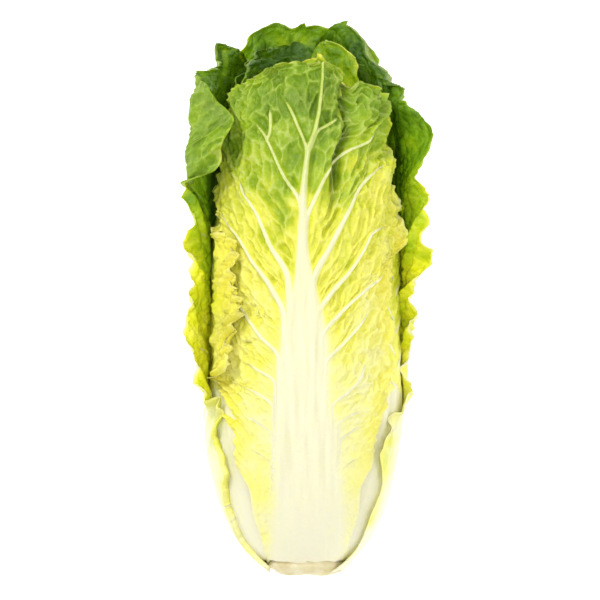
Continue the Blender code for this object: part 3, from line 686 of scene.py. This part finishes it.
def curvature(leaf, a, y, r):
    """How fast the section turns at distance a from the midrib, with the leaf's bends."""
    bend = np.ones_like(a) / r
    for side, sign in (("minus", -1), ("plus", 1)):
        for begin, radius, turn, low, whole, until, high in getattr(leaf, "bends_" + side):
            there = smoothstep(y, low, whole) * (1 - smoothstep(y, until, high))
            if abs(radius) < TIGHT_BEND:
                begin = begin + (1 - there) * ROLL_SLIDE
                there = there > 0
            end = begin + abs(radius) * math.radians(turn)
            share = there * smoothstep(a * sign, begin - BEND_EASE, begin + BEND_EASE)
            inside = 1 - smoothstep(a * sign, end - BEND_EASE, end + BEND_EASE)
            bend = bend * (1 - share) + share * inside / radius
    return bend


def wrap(leaf, a, length):
    """Points of the leaf's shell for distances across and along the flat leaf."""
    y_of, r_of, length_of = profile(leaf)
    y = np.interp(length, length_of, y_of)
    r = np.interp(length, length_of, r_of)
    steps = ROLLED_WRAP_STEPS if leaf.bends_minus or leaf.bends_plus else WRAP_STEPS
    step = a[..., None] / steps
    places = step * (np.arange(steps) + 0.5)
    bend = curvature(leaf, places, y[..., None], r[..., None])
    start = math.radians(leaf.angle)
    heading = start + np.cumsum(bend * step, axis=-1) - 0.5 * bend * step
    x = r * math.sin(start) + (np.cos(heading) * step).sum(axis=-1)
    z = r * math.cos(start) - (np.sin(heading) * step).sum(axis=-1)
    return np.stack([x, y, z], axis=-1)


def facing(leaf, flat, points):
    """Unit normals of the shell at the points of the leaf, away from the axis of the head."""
    across = wrap(leaf, flat.a + NORMAL_STEP, flat.length) - points
    along = wrap(leaf, flat.a, flat.length + NORMAL_STEP) - points
    normal = np.cross(across, along)
    size = np.linalg.norm(normal, axis=-1, keepdims=True)
    return normal / np.maximum(size, 1e-12)


def rib_ratio(leaf, flat, y):
    """Distance from the middle of the midrib, as a share of its half width."""
    return (flat.a - curve_through(leaf.rib_path, y)) / curve_through(leaf.rib_width, y)


def rib_relief(leaf, flat, ratio, rib, y):
    """Height over the blade of the midrib with its flutes and lines, and of the swell."""
    fluted = leaf.ridge * smoothstep(y, *RIDGE_GROWS) * np.ones(ratio.shape)
    for place, half, height in leaf.flutes:
        fluted += height * np.exp(-(((ratio - place) / half) ** 2)) * smoothstep(y, *FLUTES_GROW)
    fluted += RIB_LINES * noise(flat.a / RIB_LINE_SIZE[0], y / RIB_LINE_SIZE[1], leaf.seed)
    middle, half, heights = leaf.swell
    stalk = np.clip(1 - ((flat.a - middle) / half) ** 2, 0.0, 1.0)
    return fluted * rib + stalk * curve_through(heights, y)


def ridge_over(ratio):
    """Rounded ridge with soft feet: 1 on its crest and next to nothing beyond its half width."""
    return np.exp(-1.6 * ratio**2)


def drawn_veins(leaf, flat):
    """For the front leaf's drawn veins, the share of their height that is reached, and the
    distance from them as a share of their half width."""
    y_of, r_of, length_of = profile(leaf)
    height = np.zeros(flat.a.shape)
    ratio = np.full(flat.a.shape, FAR)
    for half, *places in FRONT_VEINS:
        x, y = np.array(places).T
        r = np.interp(y, y_of, r_of)
        a = r * np.arcsin(np.clip(x / r, -0.98, 0.98))
        length = np.interp(y, y_of, length_of)
        run = np.concatenate([[0.0], np.cumsum(np.hypot(np.diff(a), np.diff(length)))])
        at = np.linspace(0.0, run[-1], max(8, int(run[-1] / VEIN_SAMPLE)))
        line_a = curve_through(list(zip(run, a)), at)
        line_length = curve_through(list(zip(run, length)), at)
        near = (flat.a > line_a.min() - VEIN_REACH) & (flat.a < line_a.max() + VEIN_REACH)
        near &= flat.length > line_length.min() - VEIN_REACH
        near &= flat.length < line_length.max() + VEIN_REACH
        far = np.hypot(flat.a[near][:, None] - line_a, flat.length[near][:, None] - line_length)
        nearest = far.argmin(axis=1)
        share = at[nearest] / run[-1]
        width = np.maximum(half * (1.02 - VEIN_TAPER * share), VEIN_LEAST)
        lasts = 1 - smoothstep(share, VEIN_ENDS_FROM, 1.0)
        lasts = lasts * smoothstep(line_length[nearest], 0.02, 0.13)
        crest = ridge_over(far.min(axis=1) / np.maximum(width, VEIN_BROAD))
        crest = crest * lasts * (1 - VEIN_SINKS * share)
        crest = crest * smoothstep(at[nearest], 0.0, VEIN_STARTS_OVER)
        height[near] = np.maximum(height[near], crest)
        ratio[near] = np.minimum(ratio[near], far.min(axis=1) / width + 0.9 * (1 - lasts))
    return height, ratio


def rule_veins(leaf, flat):
    """The same for a leaf whose side veins follow its rows."""
    seed = leaf.seed * 17
    wobble = 0.10 * noise(flat.a / 0.014, flat.along * 14, seed)
    place = flat.along * leaf.side_veins + 0.5 * flat.side + wobble
    spacing = flat.length.max() / leaf.side_veins
    off = np.abs(place - np.round(place)) * spacing
    width = np.maximum(leaf.vein_width * (1.1 - 0.8 * np.abs(flat.across)), VEIN_LEAST)
    fade = smoothstep(flat.length, 0.05, 0.11) * (1 - smoothstep(np.abs(flat.across), 0.70, 0.95))
    fade *= 1 - 0.8 * smoothstep(flat.along, 0.70, 0.85)
    ratio = off / width
    return ridge_over(ratio) * fade, np.minimum(ratio / np.maximum(fade, 0.1), FAR)


def puckers(leaf, flat, smooth):
    """How far hollows and creases between the veins sink the outer face, and distances from
    the net of small veins and from the finer net. Sizes are those of the lumps of noise."""
    seed = leaf.seed * 7
    wide, tall = leaf.cell
    rise = flat.along * flat.length.max()
    stray = noise(flat.a / 0.013, flat.length / 0.011, seed)
    stray += 0.5 * noise(flat.a / 0.005, rise / 0.004, seed + 1)
    sway = noise(flat.a / 0.010, flat.length / 0.014, seed + 2)
    sway += 0.5 * noise(flat.a / 0.004, rise / 0.005, seed + 3)
    across, up = flat.a / wide, rise / tall
    nearest, second, lot = cells(across + 0.45 * stray, up + 0.45 * sway, seed + 4)
    gap = second - nearest
    depth = smoothstep(gap, 0.0, 0.50) * (0.45 + 1.2 * lot)
    nearest, second, lot = cells(2.5 * across + stray, 2.3 * up + sway, seed + 6)
    fine_gap = second - nearest
    depth += 0.40 * smoothstep(fine_gap, 0.0, 0.65) * (0.3 + 1.2 * lot)
    wave = noise(flat.a / 0.009 + 0.6 * sway, rise / 0.0034 + 0.8 * stray, seed + 8)
    patch = smoothstep(noise(flat.a / 0.022, flat.length / 0.026, seed + 9), -0.5, 0.5)
    depth += 0.25 * patch * (1 - np.clip(np.abs(wave) / 0.35, 0.0, 1.0)) ** 2
    depth += 0.8 * noise(flat.a / 0.019, rise / 0.015, seed + 10)
    strength = leaf.pucker * smoothstep(flat.length, *PUCKERS_GROW) * (1 - smooth)
    return strength * depth, *(np.clip(net + smooth, 0.0, 1.0) for net in (gap, fine_gap))


def ruffles(leaf, flat, y):
    """How far the margin waves out of the blade."""
    seed = leaf.seed * 13
    side = flat.side * 11
    wave = np.cos(2 * math.pi * leaf.waves * flat.along + leaf.phase + math.pi * flat.side)
    height = np.where(flat.across > 0, leaf.frill_plus, leaf.frill_minus)
    height = height * smoothstep(y, leaf.frill_from, leaf.frill_from + FRILL_GROWS_OVER)
    lift = height * np.abs(flat.across) ** FRILL_POWER * (wave + leaf.frill_lean)
    grown = smoothstep(y, leaf.ruffles_from, leaf.ruffles_from + RUFFLES_GROW_OVER)
    high = smoothstep(y, *RUFFLES_HIGH)
    for number, (wavelength, minus, plus, reach, top_share) in enumerate(leaf.ruffles):
        size = np.where(flat.across > 0, plus, minus)
        stray = 0.60 * noise(flat.run / (1.6 * wavelength), side, seed + number)
        swell = 0.75 + 0.6 * noise(flat.run / (2.3 * wavelength), side + 3, seed + number)
        turn = 2 * math.pi * (flat.run / wavelength + stray)
        size = size * grown * (1 + (top_share - 1) * high)
        lift = lift + size * swell * np.exp(-((flat.edge / reach) ** 2)) * np.sin(turn)
    return lift


def pleat(leaf, flat, y):
    """Depth of the fold that sets a lobe off from the middle of the leaf."""
    if not leaf.pleat_path:
        return np.zeros(y.shape)
    off = flat.a - curve_through(leaf.pleat_path, y)
    reach = np.where(off < 0, *PLEAT_REACH)
    return PLEAT_DEPTH * np.exp(-((off / reach) ** 2)) * smoothstep(y, *PLEAT_GROWS)


def blade_thickness(leaf, flat, rib, y):
    """Thickness of a leaf: thick at its rib, thin at its margin and at its foot."""
    full = BASE_THICKNESS + (1 - BASE_THICKNESS) * smoothstep(y, 0.0, BASE_FULL_AT)
    full *= 1 - smoothstep(y, RIB_THINS_FROM, leaf.rib_thin_at)
    blade = MARGIN_BLADE + (BLADE - MARGIN_BLADE) * smoothstep(flat.edge, 0.0, BLADE_FULL_AT)
    return blade + (leaf.rib_thickness - BLADE) * rib * full


def leaf_tone(leaf, flat, y):
    """Tone of the blade, from its middle to its margins."""
    plus, minus = curve_through(leaf.tone_plus, y), curve_through(leaf.tone_minus, y)
    margin_tone = np.where(flat.across > 0, plus, minus)
    to_margin = smoothstep(np.abs(flat.across), 0.25, 1.0)
    tone = curve_through(leaf.tone, y) * (1 - to_margin) + margin_tone * to_margin
    return tone + TONE_MOTTLE * noise(flat.a / 0.012, flat.length / 0.016, leaf.seed * 5)


def clear_of_stem(points):
    """Points nearer the axis than the stem's surface, moved out to just clear it."""
    far = np.hypot(points[..., 0], points[..., 2])
    least = stem_radius(points[..., 1]) + GAP
    grow = np.where(far < least, least / np.maximum(far, 1e-6), 1.0)
    return points * np.stack([grow, np.ones_like(grow), grow], axis=-1)


def placed(points, lowest):
    """Points round the head's own axis, moved to where the head lies, and none below lowest."""
    moved = clear_of_stem(points) + np.array([0.0, -REST_FROM_CUT, AXIS_HEIGHT])
    moved[..., 2] = np.maximum(moved[..., 2], lowest)
    return moved


def leaf_faces(leaf):
    """Outer and inner grids of points of a leaf, with what its material needs to know at each."""
    flat = flat_leaf(leaf)
    base = wrap(leaf, flat.a, flat.length)
    normal = facing(leaf, flat, base)
    y = base[..., 1]
    ratio = rib_ratio(leaf, flat, y)
    rib = np.clip(1.0 - (ratio / RIB_SKIRT) ** 2, 0.0, 1.0) ** RIB_ARCH
    veins = drawn_veins if leaf.drawn else rule_veins
    vein, vein_ratio = veins(leaf, flat)
    if leaf.pale_width:
        pale = np.abs(flat.a) / curve_through(leaf.pale_width, y)
        pale = pale + 0.10 * noise(y / 0.006, flat.side * 5, 3)
        pale = pale + 0.8 * (1 - smoothstep(flat.edge, *PALE_EDGE))
        ratio = np.where(rib > 0, ratio, FAR)
    else:
        pale = np.abs(ratio)
    if not leaf.drawn:
        fades = smoothstep(y, *leaf.rib_ends)
        pale = pale + FAR * fades
        rib = rib * (1 - fades)
    pale = np.minimum(pale, vein_ratio)
    hollow, net, fine_net = puckers(leaf, flat, 1 - smoothstep(pale, *SMOOTH_NEAR_VEIN))
    fold = pleat(leaf, flat, y)
    sheet = ruffles(leaf, flat, y) - fold - hollow
    raised = rib_relief(leaf, flat, ratio, rib, y) + leaf.vein_height * vein * (1 - 0.6 * rib)
    trim = flat.length + 0.002 * noise(flat.a / 0.004, flat.length / 0.01, 5)
    outer = base + normal * (sheet + raised)[..., None]
    inner = base + normal * (sheet - blade_thickness(leaf, flat, rib, y))[..., None]
    looks = {
        "tone": leaf_tone(leaf, flat, y),
        # Shade painted into the fold of the pleat
        "shade": PLEAT_SHADE * (fold / PLEAT_DEPTH) ** PLEAT_SHADE_POWER,
        "pale": np.minimum(pale, FAR),
        "net": net,
        "fine_net": fine_net,
        # How deep the hollows are, which also sets the shade painted into them
        "hollow": hollow / leaf.pucker,
        "gold": curve_through(leaf.gold, y) * smoothstep(GOLD_REACH - flat.edge, *GOLD_GROWS),
        "edge": 1 - smoothstep(flat.edge, *RIM),
        "trimmed": 0.8 * (1 - smoothstep(trim, *TRIMMED_FOOT)),
        "flat_a": flat.a,
        "flat_length": flat.length,
    }
    return placed(outer, 0.0), placed(inner, BLADE), looks


def border(rows, columns):
    """Places round the edge of a grid, as (row, column)."""
    round_trip = [(0, c) for c in range(columns)]
    round_trip += [(r, columns) for r in range(rows)]
    round_trip += [(rows, c) for c in range(columns, 0, -1)]
    return round_trip + [(r, 0) for r in range(rows, 0, -1)]


def quads(rows, columns):
    """Corners of the faces of a grid, as rows of four numbers."""
    low = np.arange(rows * (columns + 1)).reshape(rows, columns + 1)[:, :-1].ravel()
    return np.stack([low, low + 1, low + columns + 2, low + columns + 1], axis=1)


def sheet_mesh(outer, inner, looks, step):
    """Vertices, faces and looks of one leaf. For every step rows or columns of its outer face,
    the inner face has one."""
    rows, columns = outer.shape[0] - 1, outer.shape[1] - 1
    inner = inner[::step, ::step]
    count = outer.shape[0] * outer.shape[1]
    faces = quads(rows, columns).tolist()
    faces += (quads(rows // step, columns // step)[:, ::-1] + count).tolist()
    fine = [r * (columns + 1) + c for r, c in border(rows, columns)]
    few_rows, few_columns = rows // step, columns // step
    coarse = [count + r * (few_columns + 1) + c for r, c in border(few_rows, few_columns)]
    for i, start in enumerate(coarse):
        follow = [fine[(i * step + k) % len(fine)] for k in range(step + 1)]
        faces.append([start, coarse[(i + 1) % len(coarse)], *follow[::-1]])
    values = {}
    for name, value in looks.items():
        values[name] = np.concatenate([value.ravel(), value[::step, ::step].ravel()])
    inside = np.concatenate([np.zeros(count), np.ones(inner.shape[0] * inner.shape[1])])
    values["inside"] = inside
    return np.concatenate([outer.reshape(-1, 3), inner.reshape(-1, 3)]), faces, values


def make_piece(name, parts, material, node):
    """One object from meshes given as (vertices, faces, values), in place of a node."""
    points, faces, values, first = [], [], {}, 0
    for part_points, part_faces, part_values in parts:
        faces += [[first + corner for corner in face] for face in part_faces]
        points.append(part_points)
        first += len(part_points)
        for key, value in part_values.items():
            values.setdefault(key, []).append(value)
    data = bpy.data.meshes.new(name)
    data.from_pydata(np.concatenate(points).tolist(), [], faces)
    for key, value in values.items():
        layer = data.attributes.new(key, "FLOAT", "POINT")
        layer.data.foreach_set("value", np.concatenate(value).astype(np.float32))
    data.shade_smooth()
    data.materials.append(material)
    piece = bpy.data.objects.new(name, data)
    bpy.context.scene.collection.objects.link(piece)
    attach(piece, "root")
    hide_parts(node)
    return piece


def ring_faces(segments, steps):
    """Corners of the faces between rings of points, from each ring to the next."""
    ring = np.arange(segments)
    follow = (ring + 1) % segments
    faces = []
    for low in range(0, steps * segments, segments):
        high = low + segments
        faces += np.stack([low + ring, low + follow, high + follow, high + ring], axis=1).tolist()
    return faces


def core_mesh():
    """The core of the heart, as rings round the head's axis."""
    turn = np.linspace(-math.pi, math.pi, CORE_SEGMENTS, endpoint=False)[None, :]
    along = np.linspace(0.002, 0.998, CORE_RINGS + 1)[:, None]
    rolled = (CORE_ROLLS * turn / (2 * math.pi) + CORE_TWIST * along) % 1.0
    radius = (CORE_RADIUS + CORE_FRONT * np.cos(turn)) * np.sin(math.pi * along) ** CORE_SHAPE
    radius = radius * (1 - CORE_STEP * rolled)
    y = CORE_FROM + (CORE_TO - CORE_FROM) * along + 0 * turn
    points = np.stack([radius * np.sin(turn), y, radius * np.cos(turn)], axis=-1)
    points = points + np.array([0.0, -REST_FROM_CUT, AXIS_HEIGHT])
    ring = np.arange(CORE_SEGMENTS)
    faces = ring_faces(CORE_SEGMENTS, CORE_RINGS)
    faces.append(ring[::-1].tolist())
    faces.append((CORE_RINGS * CORE_SEGMENTS + ring).tolist())
    count = points.shape[0] * CORE_SEGMENTS
    flat = {name: np.zeros(count) for name in ("hollow", "shade", "edge", "inside", "trimmed")}
    flat.update({name: np.full(count, FAR) for name in ("pale", "net", "fine_net")})
    flat["tone"] = np.full(count, CORE_TONE)
    flat["gold"] = np.full(count, CORE_GOLD)
    flat["flat_a"] = (radius * turn).ravel()
    flat["flat_length"] = y.ravel()
    return points.reshape(-1, 3), faces, flat


def linear(colour):
    """A colour as the eye sees it, 0 to 255, as the light that the shader needs."""
    share = [value / 255 for value in colour]
    light = [v / 12.92 if v <= 0.04045 else ((v + 0.055) / 1.055) ** 2.4 for v in share]
    return (*light, 1.0)


class Nodes:
    """Builds the nodes of one material."""

    def __init__(self, name):
        self.material = bpy.data.materials.new(name)
        self.material.use_nodes = True
        self.tree = self.material.node_tree
        self.shader = self.tree.nodes["Principled BSDF"]

    def put(self, socket, value):
        """Links an output of another node to a socket, or sets a value there."""
        if isinstance(value, bpy.types.NodeSocket):
            self.tree.links.new(value, socket)
        else:
            socket.default_value = value

    def add(self, kind, inputs=(), **settings):
        """A new node with its settings, and its inputs as values or as outputs of other nodes."""
        made = self.tree.nodes.new(kind)
        for name, value in settings.items():
            setattr(made, name, value)
        for socket, value in dict(inputs).items():
            self.put(made.inputs[socket], value)
        return made

    def attribute(self, name):
        """A number kept at the vertices."""
        return self.add("ShaderNodeAttribute", attribute_name=name).outputs["Fac"]

    def place(self, across, length):
        """A place on the flat leaf."""
        return self.add("ShaderNodeCombineXYZ", {"X": across, "Y": length}).outputs[0]

    def near(self, name, close, far):
        """1 where a distance kept at the vertices is small, and 0 where it is large."""
        sides = {"Value": self.attribute(name), "From Min": close, "From Max": far}
        sides.update({"To Min": 1.0, "To Max": 0.0})
        return self.add("ShaderNodeMapRange", sides, interpolation_type="SMOOTHSTEP").outputs[0]

    def share(self, value, low, high):
        """0 below low, 1 above high, and even in between."""
        sides = {"Value": value, "From Min": low, "From Max": high}
        return self.add("ShaderNodeMapRange", sides).outputs[0]

    def noise(self, place, scale, detail, output="Fac"):
        """Soft random lumps."""
        sides = {"Vector": place, "Scale": scale, "Detail": detail}
        return self.add("ShaderNodeTexNoise", sides).outputs[output]

    def maths(self, operation, first, second, clamp=False):
        """One sum."""
        settings = {"operation": operation, "use_clamp": clamp}
        return self.add("ShaderNodeMath", {0: first, 1: second}, **settings).outputs[0]

    def times(self, first, second):
        """Two numbers multiplied."""
        return self.maths("MULTIPLY", first, second)

    def plus(self, first, second):
        """Two numbers added."""
        return self.maths("ADD", first, second)

    def ramp(self, factor, stops):
        """A colour ramp with its stops as (place, colour)."""
        made = self.add("ShaderNodeValToRGB", {"Fac": factor})
        band = made.color_ramp
        while len(band.elements) < len(stops):
            band.elements.new(0.5)
        for element, (place, colour) in zip(band.elements, stops):
            element.position = place
            element.color = linear(colour)
        return made.outputs["Color"]

    def mix(self, factor, first, second, blend="MIX"):
        """Two colours mixed."""
        made = self.add("ShaderNodeMix", {"Factor": factor}, data_type="RGBA", blend_type=blend)
        self.put(made.inputs[6], first)
        self.put(made.inputs[7], second)
        return made.outputs[2]

    def connect(self, socket, value):
        """Links an output, or sets a value, on the shader."""
        self.put(self.shader.inputs[socket], value)

    def skin(self, blotch, roughness, height, strength, distance):
        """Roughness that varies with the blotches, and fine bumps."""
        sides = {"Value": blotch, "To Min": roughness[0], "To Max": roughness[1]}
        self.connect("Roughness", self.add("ShaderNodeMapRange", sides).outputs[0])
        sides = {"Height": height, "Strength": strength, "Distance": distance}
        self.connect("Normal", self.add("ShaderNodeBump", sides).outputs[0])


def leaf_material(name):
    """Leaf tissue: tones, pale veins and net, golden margins, shade painted into the hollows, the
    pleat and streaks along the pale rib, fine puckers and a satin skin.
    """
    n = Nodes(name)
    across, length = n.attribute("flat_a"), n.attribute("flat_length")
    place = n.place(across, length)
    blotch, fine = n.noise(place, 90.0, 4.0), n.noise(place, 700.0, 3.0)
    bent = {0: n.noise(place, 260.0, 1.0, "Color"), "Scale": 0.0022}
    bent = n.add("ShaderNodeVectorMath", bent, operation="SCALE").outputs[0]
    bent = n.add("ShaderNodeVectorMath", {0: bent, 1: place}, operation="ADD").outputs[0]
    web = n.add("ShaderNodeTexVoronoi", {"Vector": bent, "Scale": 330.0}, feature="SMOOTH_F1")
    web = web.outputs["Distance"]
    inside, hollow = n.attribute("inside"), n.attribute("hollow")
    vein = n.near("pale", 0.75, 1.25)
    tone = n.plus(n.attribute("tone"), n.times(n.maths("SUBTRACT", blotch, 0.5), BLOTCHES))
    # Painted shade: the tone is darker in the hollows
    tone = n.plus(tone, n.times(hollow, HOLLOW_SHADE_TONE))
    tone = n.maths("SUBTRACT", tone, n.times(web, WEB_TONE))
    rim = n.times(n.attribute("edge"), n.maths("SUBTRACT", 1.05, tone))
    tone = n.maths("SUBTRACT", tone, n.times(rim, RIM_TONE), clamp=True)
    green = n.share(tone, *GREEN)

    blade = n.mix(inside, n.ramp(tone, OUTSIDE_TONES), n.ramp(tone, INSIDE_TONES))
    blade = n.mix(n.attribute("gold"), blade, linear(GOLD))
    # Painted shade: the colour is multiplied darker in the hollows, more where it is green
    hollow_shade = n.times(hollow, n.plus(HOLLOW_SHADE_STRENGTH[0], n.times(green, HOLLOW_SHADE_STRENGTH[1])))
    blade = n.mix(hollow_shade, blade, SHADE_IN_HOLLOWS, "MULTIPLY")
    # Painted shade in the fold of the pleat
    blade = n.mix(n.attribute("shade"), blade, SHADE_IN_PLEAT, "MULTIPLY")

    pale = n.mix(inside, n.ramp(tone, OUTSIDE_VEINS), n.ramp(tone, INSIDE_VEINS))
    # Painted shade: the pale colour of the rib and veins is darkened in streaks along the head
    drawn_out = n.place(n.times(across, RIB_SHADE_STRETCH), length)
    rib_shade = n.share(n.noise(drawn_out, RIB_SHADE_SCALE, 2.0), *RIB_SHADE_BAND)
    rib_shade = n.times(rib_shade, n.share(length, *RIB_SHADE_GROWS))
    pale = n.mix(rib_shade, pale, SHADE_IN_STREAKS, "MULTIPLY")

    net = n.plus(n.times(n.near("net", 0.0, 0.16), NET_SHARE),
                 n.times(n.near("fine_net", 0.0, 0.20), FINE_NET_SHARE))
    net = n.times(net, n.plus(NET_LEAST, n.times(green, 1 - NET_LEAST)))
    colour = n.mix(vein, n.mix(net, blade, pale), pale)
    n.connect("Base Color", n.mix(n.attribute("trimmed"), colour, linear(STEM_TAN)))
    n.connect("Specular IOR Level", 0.30)
    n.connect("Subsurface Weight", 0.22)
    n.connect("Subsurface Radius", (0.9, 1.0, 0.2))
    n.connect("Subsurface Scale", 0.0025)
    bumps = n.times(web, n.maths("SUBTRACT", 0.9, vein, clamp=True))
    n.skin(blotch, (0.34, 0.52), n.plus(bumps, n.times(fine, 0.35)), 0.80, 0.0013)
    return n.material


def stem_material():
    """Cut and trimmed stem tissue: tan, browner in its pits, with fine fibres."""
    n = Nodes("stem")
    place = n.add("ShaderNodeTexCoord").outputs["Object"]
    blotch = n.noise(place, 110.0, 5.0)
    grain = n.add("ShaderNodeTexVoronoi", {"Vector": place, "Scale": 900.0}).outputs["Distance"]
    brown = n.share(blotch, 0.35, 0.75)
    n.connect("Base Color", n.mix(brown, linear(STEM_TAN), linear(STEM_BROWN)))
    n.connect("Subsurface Weight", 0.1)
    n.connect("Subsurface Scale", 0.0015)
    n.skin(blotch, (0.5, 0.75), n.plus(blotch, n.times(grain, 0.4)), 0.6, 0.0006)
    return n.material


def make_stem(material):
    """The stem, turned round the head's axis, with a trimmed, uneven stub."""
    rows = list(CUT_DISH) + list(STEM_SIDE)
    run = np.concatenate([[0.0], np.cumsum(np.hypot(*np.diff(np.array(rows), axis=0).T))])
    at = np.linspace(0.0, run[-1], STEM_STEPS)
    y_of, r_of = np.array(rows).T
    y, r = np.interp(at, run, y_of)[:, None], np.interp(at, run, r_of)[:, None]
    turn = np.linspace(-math.pi, math.pi, STEM_SEGMENTS, endpoint=False)[None, :]
    on_stub = 1 - smoothstep(y, 0.002, STUB_END)
    round_place = turn / math.pi * 9
    dents = STUB_DENTS * on_stub * smoothstep(r, 0.010, 0.018)
    r = r + dents * noise(round_place + 20, y / 0.002 + 9, 77)
    ring = CUT_RING * np.sin(r / CUT_RING_SPACING) * smoothstep(0.016 - r, 0.0, 0.004)
    y = y + on_stub * (STUB_LUMPS * noise(round_place / 2 + 20, r / 0.008 + 9, 78) + ring)
    y = y - REST_FROM_CUT + 0 * turn
    points = np.stack([r * np.sin(turn), y, r * np.cos(turn) + AXIS_HEIGHT], axis=-1)
    faces = ring_faces(STEM_SEGMENTS, STEM_STEPS - 1)
    part = (points.reshape(-1, 3), faces, {})
    piece = make_piece("stem_stub", [part], material, "stem")
    mesh = bmesh.new()
    mesh.from_mesh(piece.data)
    bmesh.ops.remove_doubles(mesh, verts=mesh.verts, dist=0.00002)
    mesh.to_mesh(piece.data)
    mesh.free()
    return piece


def dressed(own, defaults):
    """The mesh of the leaf that says its own things over the defaults."""
    leaf = SimpleNamespace(**(defaults | own))
    return sheet_mesh(*leaf_faces(leaf), leaf.inner_step)


def make_leaves():
    """Every leaf round the heart. Its piece is named after its node."""
    slots = sorted({own["slot"] for own in LEAVES.values()})
    materials = {slot: leaf_material(slot) for slot in slots}
    for node, own in LEAVES.items():
        name, slot = node.removeprefix("leaf_") + "_leaf", own["slot"]
        make_piece(name, [dressed(own, DEFAULTS)], materials[slot], node)


def make_heart(material):
    """The small leaves in the middle of the head, round their core."""
    parts = [core_mesh(), *(dressed(own, HEART_DEFAULTS) for own in HEART_LEAVES)]
    make_piece("heart_leaves", parts, material, "heart")


def make_camera():
    """Looks straight down on the head, with the stem at the bottom of the picture."""
    data = bpy.data.cameras.new("camera")
    data.sensor_width = SENSOR * 1000
    data.lens = SENSOR * 1000 * VIEW_DISTANCE / VIEW_WIDTH
    camera = bpy.data.objects.new("camera", data)
    camera.location = (*VIEW_CENTRE, VIEW_LEVEL + VIEW_DISTANCE)
    bpy.context.scene.collection.objects.link(camera)
    bpy.context.scene.camera = camera


def make_light(name, place, size, power):
    """A soft square light that faces the head."""
    data = bpy.data.lights.new(name, "AREA")
    data.size = size
    data.energy = power
    light = bpy.data.objects.new(name, data)
    light.location = place
    aim = Vector(LIGHTS_FACE) - light.location
    light.rotation_euler = aim.to_track_quat("-Z", "Y").to_euler()
    bpy.context.scene.collection.objects.link(light)


def make_studio():
    """A white floor, white surroundings and soft lights."""
    bpy.ops.mesh.primitive_plane_add(size=FLOOR_SIZE, location=(0.0, 0.0, FLOOR_LEVEL))
    floor = bpy.context.object
    floor.name = "floor"
    n = Nodes("floor")
    n.connect("Base Color", (0.9, 0.9, 0.9, 1.0))
    n.connect("Roughness", 0.9)
    n.connect("Emission Color", (1.0, 1.0, 1.0, 1.0))
    n.connect("Emission Strength", FLOOR_GLOW)
    floor.data.materials.append(n.material)
    world = bpy.data.worlds.new("world")
    world.use_nodes = True
    sky = world.node_tree.nodes["Background"].inputs
    sky["Color"].default_value = (1.0, 1.0, 1.0, 1.0)
    sky["Strength"].default_value = WORLD_LIGHT
    bpy.context.scene.world = world
    for light in LIGHTS:
        make_light(*light)
    bpy.context.scene.view_settings.view_transform = "Standard"


def main():
    """Dresses the whole head."""
    make_leaves()
    make_heart(leaf_material("heart_leaf"))
    make_stem(stem_material())
    make_camera()
    make_studio()


main()
